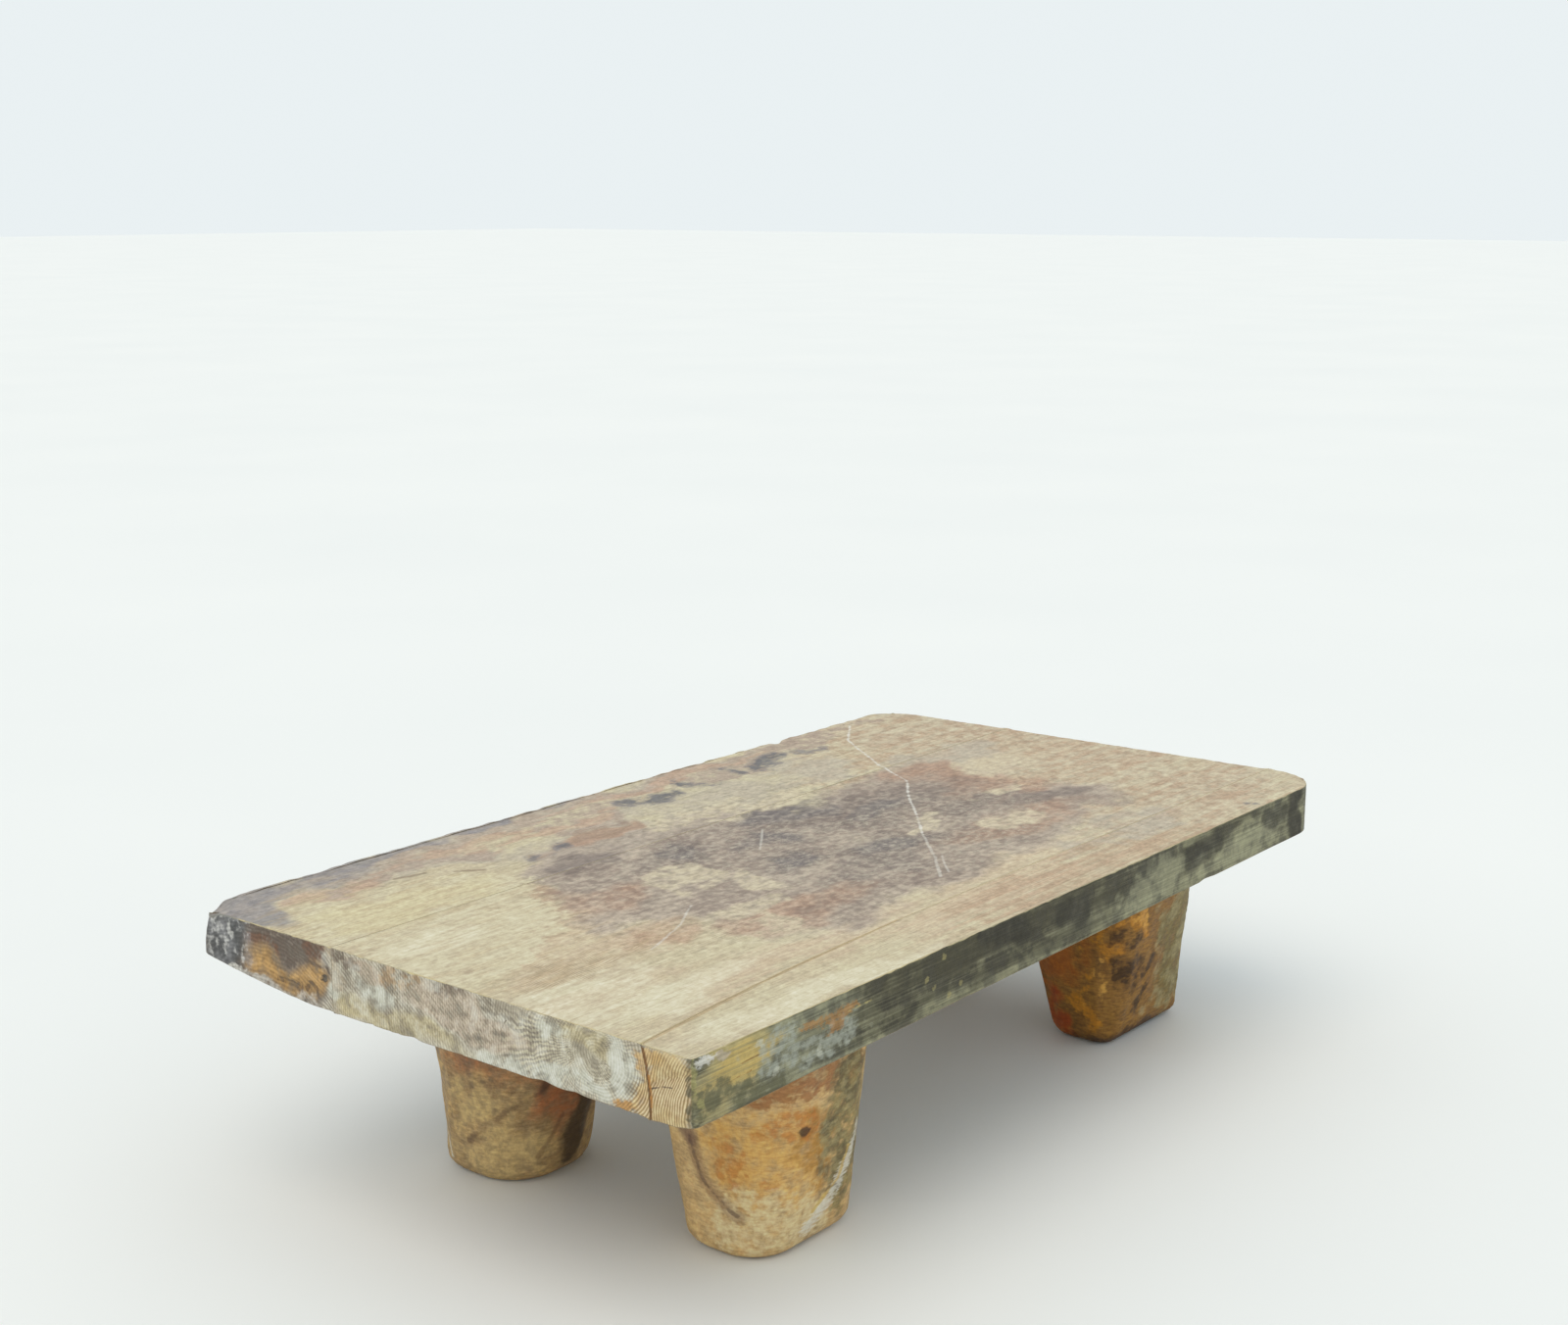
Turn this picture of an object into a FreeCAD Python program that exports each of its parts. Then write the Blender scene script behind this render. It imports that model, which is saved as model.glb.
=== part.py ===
"""Low rustic table: a slab top of three edge-joined boards on four hewn stub legs.

Millimetres, +Z up. The origin is on the floor under the middle of the top. X runs along
the table and Y across it: the front, at -Y, is the side with the narrow strip, and the
left, at -X, is the end that shows all three boards as end grain.

Each leg ends in a square stub tenon that stops inside the middle board. A fox wedge in
the end of each tenon spreads it as the leg is driven home. Bamboo pegs cross both edge
joints of the top.
"""
import FreeCAD, Part

import math
import os

# Overall size
LENGTH = 720.0
WIDTH = 400.0
HEIGHT = 176.0
SLAB_THICKNESS = 41.0

# Plan of the top: corner radii, and how far the right end and the back edge run off square
FRONT_LEFT_RADIUS = 3.0
FRONT_RIGHT_RADIUS = 38.0
BACK_RIGHT_RADIUS = 36.0
BACK_LEFT_RADIUS = 10.0
END_SLANT = 18.0
BACK_TAPER = 7.5

# Edges of the top, rounded by wear
TOP_WEAR = 1.5
BOTTOM_WEAR = 2.5

# Underside: the waney back edge and the hewn front edge rise above the flat underside
WANE_WIDTH = 104.0
WANE_RISE_LEFT = 11.0
WANE_RISE_RIGHT = 7.0
HEWN_WIDTH = 30.0
HEWN_RISE_LEFT = 1.0
HEWN_RISE_RIGHT = 5.0
RISE_MIDDLE_SHARE = 0.38

# Boards of the top
BACK_BOARD_LEFT = 123.0
BACK_BOARD_RIGHT = 127.0
STRIP_WIDTH = 50.0
STRIP_LEAN = 6.0
BOARD_GAP = 0.15
# Along the table, and the strip's width there
strip_x_shares = (0.0, 0.14, 0.34, 0.66, 1.0)
strip_width_shares = (0.70, 0.89, 1.0, 0.98, 0.90)
# Down through the top, and how far the joint has leaned towards the front there
lean_z_shares = (0.0, 0.5, 1.0)
lean_y_shares = (1.0, 0.75, 0.0)

# Legs
LEG_TOP = 120.0
LEG_FOOT = 80.0
LEG_LEAN = 12.0
END_INSET = 155.0
FRONT_INSET = 80.0
BACK_INSET = 131.0
FOOT_ROUND = 12.0
FOOT_ROUND_STEPS = 4
# The most of a foot's corner radius that its rounded rim may take
RIM_LIMIT_SHARE = 0.75
# The tables below hold one entry for each leg, in this order
leg_names = ("front_left", "back_left", "front_right", "back_right")
# Foot's place in from the end and from the long edge, as shares of its insets
place_shares = ((1.05, 1.04), (0.90, 0.99), (0.85, 1.2), (1.0, 1.0))
# Size along and across the table at the foot and at the top
foot_shares = ((1.30, 0.93), (1.08, 1.06), (1.38, 0.66), (0.98, 1.0))
top_shares = ((1.04, 1.0), (1.02, 0.98), (1.0, 0.92), (0.97, 0.97))
# The way along and across that the top leans from the foot
lean_shares = ((-0.92, -0.42), (0.0, -0.75), (-1.95, 0.0), (-0.4, -0.5))
# Corner radius as a share of the shorter side
corner_shares = (0.42, 0.42, 0.3, 0.34)
# How much of the tenon's shift a leg takes
shift_shares = (0.0, 1.0, 0.0, 1.0)

# Stub tenon, its blind mortise in the middle board, and the fox wedge
TENON_ALONG = 44.0
TENON_ACROSS = 36.0
TENON_LENGTH = 26.0
TENON_SHIFT = 15.0
TENON_CLEARANCE = 0.15
MORTISE_FLOOR_GAP = 0.8
WEDGE_LENGTH = 19.0
WEDGE_HEAD = 5.0
WEDGE_TIP = 1.5
WEDGE_CLEARANCE = 0.1

# Bamboo pegs across the edge joints
PEG_DIAMETER = 8.0
PEG_LENGTH = 44.0
PEG_POINT = 2.0
PEG_CLEARANCE = 0.1
PEG_END_GAP = 0.8
peg_x_shares = (0.09, 0.34, 0.62, 0.91)

# How far a cutting shape runs past what it cuts, and the width of a pick by height
OVERRUN = 20.0
PICK = 0.01

LEFT = -LENGTH / 2
RIGHT = LENGTH / 2
FRONT = -WIDTH / 2
BACK = WIDTH / 2
UNDERSIDE = HEIGHT - SLAB_THICKNESS
PEG_HEIGHT = HEIGHT - SLAB_THICKNESS / 2


def vec(x, y, z):
    """A point or direction."""
    return FreeCAD.Vector(x, y, z)


def polygon_face(points):
    """A flat face on straight edges."""
    return Part.Face(Part.makePolygon(points + [points[0]]))


def rounded_corner(centre, radius, normal_in, normal_out):
    """The arc of one corner, between the outward normals of its two edges."""
    middle = (normal_in + normal_out).normalize()
    return Part.Arc(
        centre + normal_in * radius,
        centre + middle * radius,
        centre + normal_out * radius,
    ).toShape()


def tangent_normal(centre, radius, next_centre, next_radius):
    """Outward normal of the edge that touches two corner circles, anticlockwise."""
    run = next_centre - centre
    along = vec(run.x, run.y, 0) * (1 / run.Length)
    outward = vec(along.y, -along.x, 0)
    fall = (radius - next_radius) / run.Length
    return along * fall + outward * math.sqrt(1 - fall * fall)


def belt_wire(circles):
    """A closed outline of straight edges that touch a ring of corner circles."""
    count = len(circles)
    normals = []
    for index, (centre, radius) in enumerate(circles):
        next_centre, next_radius = circles[(index + 1) % count]
        normals.append(tangent_normal(centre, radius, next_centre, next_radius))
    edges = []
    for index, (centre, radius) in enumerate(circles):
        next_centre, next_radius = circles[(index + 1) % count]
        edges.append(rounded_corner(centre, radius, normals[index - 1], normals[index]))
        start = centre + normals[index] * radius
        end = next_centre + normals[index] * next_radius
        edges.append(Part.LineSegment(start, end).toShape())
    return Part.Wire(edges)


def slab_outline(height):
    """Outline of the top in plan, anticlockwise from the front left corner."""
    right_back = RIGHT - END_SLANT - BACK_RIGHT_RADIUS
    back_right = BACK - BACK_TAPER - BACK_RIGHT_RADIUS
    return belt_wire([
        (vec(LEFT + FRONT_LEFT_RADIUS, FRONT + FRONT_LEFT_RADIUS, height), FRONT_LEFT_RADIUS),
        (vec(RIGHT - FRONT_RIGHT_RADIUS, FRONT + FRONT_RIGHT_RADIUS, height), FRONT_RIGHT_RADIUS),
        (vec(right_back, back_right, height), BACK_RIGHT_RADIUS),
        (vec(LEFT + BACK_LEFT_RADIUS, BACK - BACK_LEFT_RADIUS, height), BACK_LEFT_RADIUS),
    ])


def edges_at(shape, height):
    """The edges of a shape that lie flat at one height."""
    return [
        edge for edge in shape.Edges
        if abs(edge.BoundBox.ZMin - height) < PICK and abs(edge.BoundBox.ZMax - height) < PICK
    ]


def rise_section(x, side, width, rise):
    """Section of what is hewn off the underside along the front (-1) or back (1) edge."""
    edge = side * WIDTH / 2
    inner = edge - side * width
    outer = edge + side * OVERRUN
    bend = vec(x, (inner + edge) / 2, UNDERSIDE + rise * RISE_MIDDLE_SHARE)
    arc = Part.Arc(vec(x, inner, UNDERSIDE), bend, vec(x, edge, UNDERSIDE + rise))
    corners = [
        vec(x, edge, UNDERSIDE + rise),
        vec(x, outer, UNDERSIDE + rise),
        vec(x, outer, UNDERSIDE - OVERRUN),
        vec(x, inner, UNDERSIDE - OVERRUN),
        vec(x, inner, UNDERSIDE),
    ]
    sides = [
        Part.LineSegment(start, end).toShape()
        for start, end in zip(corners, corners[1:])
    ]
    return Part.Wire([arc.toShape()] + sides)


def rise_cutter(side, width, left_rise, right_rise):
    """What is hewn off the underside along one long edge."""
    return Part.makeLoft(
        [rise_section(LEFT, side, width, left_rise), rise_section(RIGHT, side, width, right_rise)],
        True, True,
    )


def slab():
    """The whole top before it is parted into boards."""
    body = Part.Face(slab_outline(UNDERSIDE)).extrude(vec(0, 0, SLAB_THICKNESS))
    body = body.makeFillet(TOP_WEAR, edges_at(body, HEIGHT))
    body = body.makeFillet(BOTTOM_WEAR, edges_at(body, UNDERSIDE))
    body = body.cut(rise_cutter(1, WANE_WIDTH, WANE_RISE_LEFT, WANE_RISE_RIGHT))
    return body.cut(rise_cutter(-1, HEWN_WIDTH, HEWN_RISE_LEFT, HEWN_RISE_RIGHT))


def back_joint_y(x):
    """Where the joint of the back board lies at a place along the table."""
    share = (x - LEFT) / LENGTH
    return BACK - BACK_BOARD_LEFT + (BACK_BOARD_LEFT - BACK_BOARD_RIGHT) * share


def back_zone(gap):
    """The space of the back board, its joint face moved back by a gap."""
    points = [
        vec(LEFT - OVERRUN, back_joint_y(LEFT - OVERRUN) + gap, UNDERSIDE - OVERRUN),
        vec(RIGHT + OVERRUN, back_joint_y(RIGHT + OVERRUN) + gap, UNDERSIDE - OVERRUN),
        vec(RIGHT + OVERRUN, BACK + OVERRUN, UNDERSIDE - OVERRUN),
        vec(LEFT - OVERRUN, BACK + OVERRUN, UNDERSIDE - OVERRUN),
    ]
    return polygon_face(points).extrude(vec(0, 0, SLAB_THICKNESS + 2 * OVERRUN))


def strip_points(height, lean):
    """The line of the strip's joint at one height of the top."""
    points = [
        vec(LEFT + LENGTH * along, FRONT + STRIP_WIDTH * wide - lean, height)
        for along, wide in zip(strip_x_shares, strip_width_shares)
    ]
    before = points[0] - vec(OVERRUN, 0, 0)
    after = points[-1] + vec(OVERRUN, 0, 0)
    return [before] + points + [after]


def strip_section(height, lean):
    """Outline in plan of the strip's space at one height."""
    line = Part.BSplineCurve()
    line.interpolate(strip_points(height, lean))
    start = line.StartPoint
    end = line.EndPoint
    front_end = vec(end.x, FRONT - OVERRUN, height)
    front_start = vec(start.x, FRONT - OVERRUN, height)
    return Part.Wire([
        line.toShape(),
        Part.LineSegment(end, front_end).toShape(),
        Part.LineSegment(front_end, front_start).toShape(),
        Part.LineSegment(front_start, start).toShape(),
    ])


def strip_zone(gap):
    """The space of the front strip, its leaning joint face moved back by a gap."""
    sections = [strip_section(UNDERSIDE - OVERRUN, STRIP_LEAN)]
    for level, lean in zip(lean_z_shares, lean_y_shares):
        sections.append(strip_section(UNDERSIDE + SLAB_THICKNESS * level, STRIP_LEAN * lean))
    sections.append(strip_section(HEIGHT + OVERRUN, 0))
    zone = Part.makeLoft(sections, True, True)
    zone.translate(vec(0, gap, 0))
    return zone


def strip_joint_y(x):
    """Where the strip's joint lies at the pegs' height, at a place along the table."""
    share = (x - LEFT) / LENGTH
    wide = strip_width_shares[-1]
    pairs = list(zip(strip_x_shares, strip_width_shares))
    for (start, start_wide), (end, end_wide) in zip(pairs, pairs[1:]):
        if start <= share <= end:
            wide = start_wide + (end_wide - start_wide) * (share - start) / (end - start)
            break
    return FRONT + STRIP_WIDTH * wide - STRIP_LEAN * lean_y_shares[1]


def peg_shape(x, y, clearance, end_gap):
    """One peg across a joint, or its hole when it is given a clearance and an end gap."""
    radius = PEG_DIAMETER / 2 + clearance
    half = PEG_LENGTH / 2 + end_gap
    point = min(PEG_POINT, radius / 2)
    shank_half = half - point
    across = vec(0, 1, 0)
    shank = Part.makeCylinder(radius, 2 * shank_half, vec(x, y - shank_half, PEG_HEIGHT), across)
    back_point = Part.makeCone(
        radius, radius - point, point, vec(x, y + shank_half, PEG_HEIGHT), across)
    front_point = Part.makeCone(
        radius, radius - point, point, vec(x, y - shank_half, PEG_HEIGHT), vec(0, -1, 0))
    return shank.fuse([back_point, front_point]).removeSplitter()


def peg_places(joint_y):
    """Middles of the pegs of one joint."""
    places = []
    for share in peg_x_shares:
        x = LEFT + LENGTH * share
        places.append((x, joint_y(x)))
    return places


def peg_row(joint_y):
    """All the pegs of one joint."""
    return Part.makeCompound([peg_shape(x, y, 0, 0) for x, y in peg_places(joint_y)])


def peg_holes(joint_y):
    """The holes of all the pegs of one joint."""
    return [peg_shape(x, y, PEG_CLEARANCE, PEG_END_GAP) for x, y in peg_places(joint_y)]


def of_leg(shares, name):
    """A leg's own entry in a table."""
    return shares[leg_names.index(name)]


def leg_place(name):
    """Middle of a leg's foot, and middle of its top."""
    end_share, side_share = of_leg(place_shares, name)
    end_inset = END_INSET * end_share
    x = LEFT + end_inset if name.endswith("left") else RIGHT - end_inset
    if name.startswith("front"):
        y = FRONT + FRONT_INSET * side_share
    else:
        y = BACK - BACK_INSET * side_share
    lean_x, lean_y = of_leg(lean_shares, name)
    return (x, y), (x + LEG_LEAN * lean_x, y + LEG_LEAN * lean_y)


def leg_ring(name, height, inset):
    """Rounded section of a leg at one height, drawn in by the rounding of its foot."""
    (foot_x, foot_y), (top_x, top_y) = leg_place(name)
    up = height / UNDERSIDE
    foot_along, foot_across = of_leg(foot_shares, name)
    top_along, top_across = of_leg(top_shares, name)
    along = LEG_FOOT * foot_along * (1 - up) + LEG_TOP * top_along * up
    across = LEG_FOOT * foot_across * (1 - up) + LEG_TOP * top_across * up
    radius = min(along, across) * of_leg(corner_shares, name)
    reach_x = along / 2 - radius
    reach_y = across / 2 - radius
    centre_x = foot_x * (1 - up) + top_x * up
    centre_y = foot_y * (1 - up) + top_y * up
    corners = ((-1, -1), (1, -1), (1, 1), (-1, 1))
    return belt_wire([
        (vec(centre_x + reach_x * sx, centre_y + reach_y * sy, height), radius - inset)
        for sx, sy in corners
    ])


def leg_body(name):
    """The leg below the top, tapered to a foot with a rounded rim."""
    corner = LEG_FOOT * min(of_leg(foot_shares, name)) * of_leg(corner_shares, name)
    rim = min(FOOT_ROUND, corner * RIM_LIMIT_SHARE)
    rings = []
    for step in range(FOOT_ROUND_STEPS + 1):
        angle = math.radians(90) * step / FOOT_ROUND_STEPS
        rings.append(leg_ring(name, rim * (1 - math.cos(angle)), rim * (1 - math.sin(angle))))
    rings.append(leg_ring(name, UNDERSIDE, 0))
    return Part.makeLoft(rings, True, True)


def tenon_place(name):
    """Middle of a leg's tenon, which keeps clear of the back board's joint."""
    top = leg_place(name)[1]
    return top[0], top[1] - TENON_SHIFT * of_leg(shift_shares, name)


def tenon_block(name, clearance, length):
    """A leg's tenon, or its mortise when it is given a clearance."""
    x, y = tenon_place(name)
    along = TENON_ALONG + 2 * clearance
    across = TENON_ACROSS + 2 * clearance
    corner = vec(x - along / 2, y - across / 2, UNDERSIDE)
    return Part.makeBox(along, across, length, corner)


def wedge_shape(name, clearance):
    """A fox wedge, thick end up, or the split that it opens when given a clearance."""
    x, y = tenon_place(name)
    top = UNDERSIDE + TENON_LENGTH
    bottom = top - WEDGE_LENGTH - clearance
    head = WEDGE_HEAD / 2 + clearance
    tip = WEDGE_TIP / 2 + clearance
    start = y - TENON_ACROSS / 2
    points = [
        vec(x - tip, start, bottom),
        vec(x + tip, start, bottom),
        vec(x + head, start, top),
        vec(x - head, start, top),
    ]
    return polygon_face(points).extrude(vec(0, TENON_ACROSS, 0))


def leg(name):
    """A whole leg with its split tenon."""
    tenon = tenon_block(name, 0, TENON_LENGTH).cut(wedge_shape(name, WEDGE_CLEARANCE))
    return leg_body(name).fuse(tenon)


def boards():
    """The three boards of the top, with their mortises and peg holes."""
    top = slab()
    strip_holes = peg_holes(strip_joint_y)
    back_holes = peg_holes(back_joint_y)
    depth = TENON_LENGTH + MORTISE_FLOOR_GAP
    mortises = [tenon_block(name, TENON_CLEARANCE, depth) for name in leg_names]
    back = top.common(back_zone(BOARD_GAP / 2)).cut(back_holes)
    strip = top.common(strip_zone(-BOARD_GAP / 2)).cut(strip_holes)
    middle = top.cut([back_zone(-BOARD_GAP / 2), strip_zone(BOARD_GAP / 2)])
    middle = middle.cut(strip_holes + back_holes + mortises)
    return {"back_board": back, "middle_board": middle, "front_strip": strip}


def make_nodes():
    """Every piece of the table by name."""
    nodes = boards()
    for name in leg_names:
        nodes[name + "_leg"] = leg(name)
        nodes[name + "_wedge"] = wedge_shape(name, 0)
    nodes["back_joint_pegs"] = peg_row(back_joint_y)
    nodes["front_joint_pegs"] = peg_row(strip_joint_y)
    return nodes


def main():
    """Write one STEP file for each node, and print what it measures."""
    os.makedirs("parts", exist_ok=True)
    for name, shape in make_nodes().items():
        shape.exportStep("parts/" + name + ".step")
        box = shape.BoundBox
        print(
            f"{name}: {len(shape.Solids)} solids, {shape.Volume:.0f} mm3, valid {shape.isValid()}, "
            f"X {box.XMin:.1f} {box.XMax:.1f}, Y {box.YMin:.1f} {box.YMax:.1f}, "
            f"Z {box.ZMin:.1f} {box.ZMax:.1f}"
        )


main()
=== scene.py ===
"""Low rustic table, dressed: a slab top of three worn boards on four hewn stub legs.

Sizes and places are in millimetres in the part's frame, and turn to metres where a mesh or
a light is made. The origin is on the floor under the middle of the top, with +Z up. X runs
along the table. The front, at -Y, is the long side with the narrow strip, and the left, at
-X, is the end that faces the viewer.
"""

import logging
import math
from dataclasses import dataclass
from enum import Enum
from functools import cache
from typing import ClassVar

import bmesh
import bpy
import numpy as np
from mathutils import Euler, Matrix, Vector


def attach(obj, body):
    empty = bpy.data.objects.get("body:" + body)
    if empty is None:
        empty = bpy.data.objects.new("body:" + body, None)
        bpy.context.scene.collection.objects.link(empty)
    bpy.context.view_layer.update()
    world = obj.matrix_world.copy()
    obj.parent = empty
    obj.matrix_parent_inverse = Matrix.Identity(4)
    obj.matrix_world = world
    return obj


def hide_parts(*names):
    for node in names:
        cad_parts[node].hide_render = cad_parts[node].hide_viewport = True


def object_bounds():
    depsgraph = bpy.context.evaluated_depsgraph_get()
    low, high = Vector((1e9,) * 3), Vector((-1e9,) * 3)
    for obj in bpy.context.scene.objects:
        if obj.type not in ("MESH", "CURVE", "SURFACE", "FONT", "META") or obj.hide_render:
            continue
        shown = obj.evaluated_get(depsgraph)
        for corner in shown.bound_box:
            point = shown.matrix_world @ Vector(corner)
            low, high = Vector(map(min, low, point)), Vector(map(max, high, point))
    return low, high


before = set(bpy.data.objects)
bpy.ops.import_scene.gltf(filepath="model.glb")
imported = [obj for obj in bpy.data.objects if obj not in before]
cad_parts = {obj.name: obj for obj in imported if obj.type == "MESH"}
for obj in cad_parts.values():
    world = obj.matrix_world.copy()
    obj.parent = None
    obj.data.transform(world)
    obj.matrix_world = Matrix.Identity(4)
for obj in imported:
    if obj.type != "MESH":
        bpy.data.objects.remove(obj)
cad_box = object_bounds()

LOG = logging.getLogger("low_table")
MM = 0.001
BODY = "root"

Array = np.ndarray
Vec2 = tuple[float, float]
Vec3 = tuple[float, float, float]
Spot = tuple[float, ...]
Piece = bpy.types.Object
Socket = bpy.types.NodeSocket
Tree = bpy.types.NodeTree


# Plain mesh tools

def mesh_points(mesh: bpy.types.Mesh) -> Array:
    """Where the points of a mesh are.

    Args:
        mesh: The mesh.

    Returns:
        An (n, 3) array in metres.
    """
    places = np.zeros(len(mesh.vertices) * 3, np.float32)
    mesh.vertices.foreach_get("co", places)
    return places.reshape(-1, 3)


def mark_points(mesh: bpy.types.Mesh, name: str, values: Array) -> None:
    """Keep a number for each point of a mesh, under a name that finishes can read."""
    attribute = mesh.attributes.new(name, "FLOAT", "POINT")
    attribute.data.foreach_set("value", values.astype(np.float32))


def node_points(name: str) -> Array:
    """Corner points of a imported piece, as an (n, 3) array in millimetres."""
    return mesh_points(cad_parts[name].data).astype(float) / MM


def in_scene(name: str, data: bpy.types.ID) -> Piece:
    """A new object in the scene, made of the given data."""
    piece = bpy.data.objects.new(name, data)
    bpy.context.scene.collection.objects.link(piece)
    return piece


def make_object(name: str, points: Array, faces: list[tuple[int, ...]]) -> Piece:
    """A mesh object with its place in its mesh.

    Args:
        name: Name of the piece.
        points: An (n, 3) array in millimetres.
        faces: Corner numbers of each face, anticlockwise from outside.

    Returns:
        The new object, linked to the scene.
    """
    mesh = bpy.data.meshes.new(name)
    mesh.from_pydata((points * MM).tolist(), [], faces)
    mesh.update()
    return in_scene(name, mesh)


def bake_modifiers(piece: Piece) -> None:
    """Turn a piece with modifiers into a plain mesh.

    Args:
        piece: The object, which keeps its name.
    """
    bpy.context.view_layer.update()
    evaluated = piece.evaluated_get(bpy.context.evaluated_depsgraph_get())
    plain = bpy.data.meshes.new_from_object(evaluated)
    old = piece.data
    piece.modifiers.clear()
    piece.data = plain
    bpy.data.meshes.remove(old)
    plain.name = piece.name


def combine(piece: Piece, tools: list[Piece], operation: str) -> None:
    """Join shapes to a closed piece, or cut them out of it, and drop them.

    Args:
        piece: The piece that is changed.
        tools: Closed shapes, deleted afterwards.
        operation: DIFFERENCE or UNION.
    """
    for tool in tools:
        modifier = piece.modifiers.new("joinery", "BOOLEAN")
        modifier.operation = operation
        modifier.solver = "MANIFOLD"
        modifier.object = tool
    bake_modifiers(piece)
    for tool in tools:
        bpy.data.objects.remove(tool)


def block(low: Vec3, high: Vec3) -> Piece:
    """A plain box between two corners, for joinery.

    Args:
        low: Lowest corner.
        high: Highest corner.

    Returns:
        The box, closed and facing outwards.
    """
    points = np.array([(x, y, z) for x in (low[0], high[0]) for y in (low[1], high[1])
                       for z in (low[2], high[2])])
    faces = [(0, 1, 3, 2), (4, 6, 7, 5), (0, 4, 5, 1), (2, 3, 7, 6), (0, 2, 6, 4), (1, 5, 7, 3)]
    return make_object("joinery_block", points, faces)


def swollen_copy(node: str, clearance: float = 0.1) -> Piece:
    """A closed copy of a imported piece, a little larger, to cut its seat with.

    Args:
        node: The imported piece's name.
        clearance: How far its surface is moved outwards.

    Returns:
        The copy.
    """
    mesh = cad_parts[node].data.copy()
    work = bmesh.new()
    work.from_mesh(mesh)
    bmesh.ops.remove_doubles(work, verts=work.verts, dist=0.001 * MM)
    bmesh.ops.recalc_face_normals(work, faces=work.faces)
    work.normal_update()
    for vertex in work.verts:
        vertex.co += vertex.normal * clearance * MM
    work.to_mesh(mesh)
    work.free()
    return in_scene("joinery_copy", mesh)


def finish_shading(piece: Piece, skin: "Skin") -> None:
    """Smooth a piece's faces up to its crisp edges, and give it its material.

    Args:
        piece: The finished mesh object.
        skin: Its finish.
    """
    crisp = math.radians(38.0)
    piece.data.shade_smooth()
    piece.data.set_sharp_from_angle(angle=crisp)
    piece.data.materials.clear()
    piece.data.materials.append(skin.material)
    skin.paint(piece)


def ease(share: Array) -> Array:
    """Soften both ends of a rise from 0 to 1."""
    return share * share * (3 - 2 * share)


def waver(points: Array, size: float, seed: int) -> Array:
    """A soft random wave over space.

    Args:
        points: An (n, 2) or (n, 3) array of places.
        size: Typical distance between two crests.
        seed: Picks the wave.

    Returns:
        One value for each place, from about -1 to 1.
    """
    rng = np.random.default_rng(seed)
    total = np.zeros(len(points))
    waves = 6
    for _ in range(waves):
        way = rng.normal(size=points.shape[1])
        way /= np.linalg.norm(way)
        turn = 2 * math.pi / (size * rng.uniform(0.7, 1.7))
        total += np.sin(points @ way * turn + rng.uniform(0, 2 * math.pi))
    return np.clip(total / math.sqrt(waves * 1.5), -1.2, 1.2)


@dataclass(frozen=True)
class Bite:
    """A chip, knot hollow or check that is sunk into a surface.

    Args:
        at: Its middle on the surface, or the start of a long one.
        half: How far it reaches from its middle line.
        depth: How far it sinks.
        push: The way that it sinks, not necessarily of length 1.
        to: The end of a long one.
        ragged: How uneven its rim is.
    """

    at: Vec3
    half: float
    depth: float
    push: Vec3
    to: Vec3 | None = None
    ragged: float = 0.22

    def sink(self, points: Array) -> Array:
        """Points with this bite taken out of the surface.

        Args:
            points: An (n, 3) array.

        Returns:
            The moved points.
        """
        start = np.array(self.at)
        offset = points - start
        if self.to is not None:
            run = np.array(self.to) - start
            share = np.clip(offset @ run / (run @ run), 0, 1)
            offset = offset - share[:, None] * run
        distance = np.linalg.norm(offset, axis=1) / self.half
        distance = distance * (1 + self.ragged * waver(points, self.half * 1.6, 5))
        push = np.array(self.push) / np.linalg.norm(self.push)
        return points + push * (self.depth * ease(np.clip(1 - distance, 0, 1)))[:, None]


# Procedural surface shape

def add_node(
    tree: Tree, kind: str, inputs: dict[str | int, object] | None = None, **settings: object
) -> bpy.types.Node:
    """Add one node with its settings and links.

    Args:
        tree: The tree that gets the node.
        kind: Blender's name for the kind of node.
        inputs: For each input, by name or number, a value or the socket that feeds it.
        **settings: Properties of the node itself.

    Returns:
        The new node.
    """
    node = tree.nodes.new(kind)
    for name, value in settings.items():
        setattr(node, name, value)
    for key, value in (inputs or {}).items():
        if isinstance(value, Socket):
            tree.links.new(value, node.inputs[key])
        else:
            node.inputs[key].default_value = value
    return node


def number(tree: Tree, operation: str, *inputs: object, **settings: object) -> Socket:
    """The result of a sum with numbers."""
    return add_node(
        tree, "ShaderNodeMath", dict(enumerate(inputs)), operation=operation, **settings).outputs[0]


def vector(tree: Tree, operation: str, *inputs: object) -> Socket:
    """The result of a sum with vectors.

    Args:
        tree: The tree that gets the node.
        operation: Blender's name for the sum.
        *inputs: What goes into it. SCALE takes the vector and the factor.

    Returns:
        The vector, or the number where the sum gives one.
    """
    keys = (0, "Scale") if operation == "SCALE" else range(len(inputs))
    node = add_node(tree, "ShaderNodeVectorMath", dict(zip(keys, inputs)), operation=operation)
    gives_number = operation in ("DOT_PRODUCT", "LENGTH", "DISTANCE")
    return node.outputs["Value" if gives_number else "Vector"]


def remap(
    tree: Tree, value: Socket, low: object, high: object, to: tuple[float, float] = (0.0, 1.0),
    kind: str = "SMOOTHSTEP"
) -> Socket:
    """A value stretched from the range low to high onto another, SMOOTHSTEP or LINEAR."""
    return add_node(
        tree, "ShaderNodeMapRange",
        {"Value": value, "From Min": low, "From Max": high, "To Min": to[0], "To Max": to[1]},
        interpolation_type=kind).outputs[0]


def mixed(tree: Tree, share: object, below: object, above: object, **settings: str) -> Socket:
    """One colour laid over another by a share."""
    return add_node(tree, "ShaderNodeMix", {0: share, 6: below, 7: above}, data_type="RGBA",
                    **settings).outputs[2]


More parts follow.
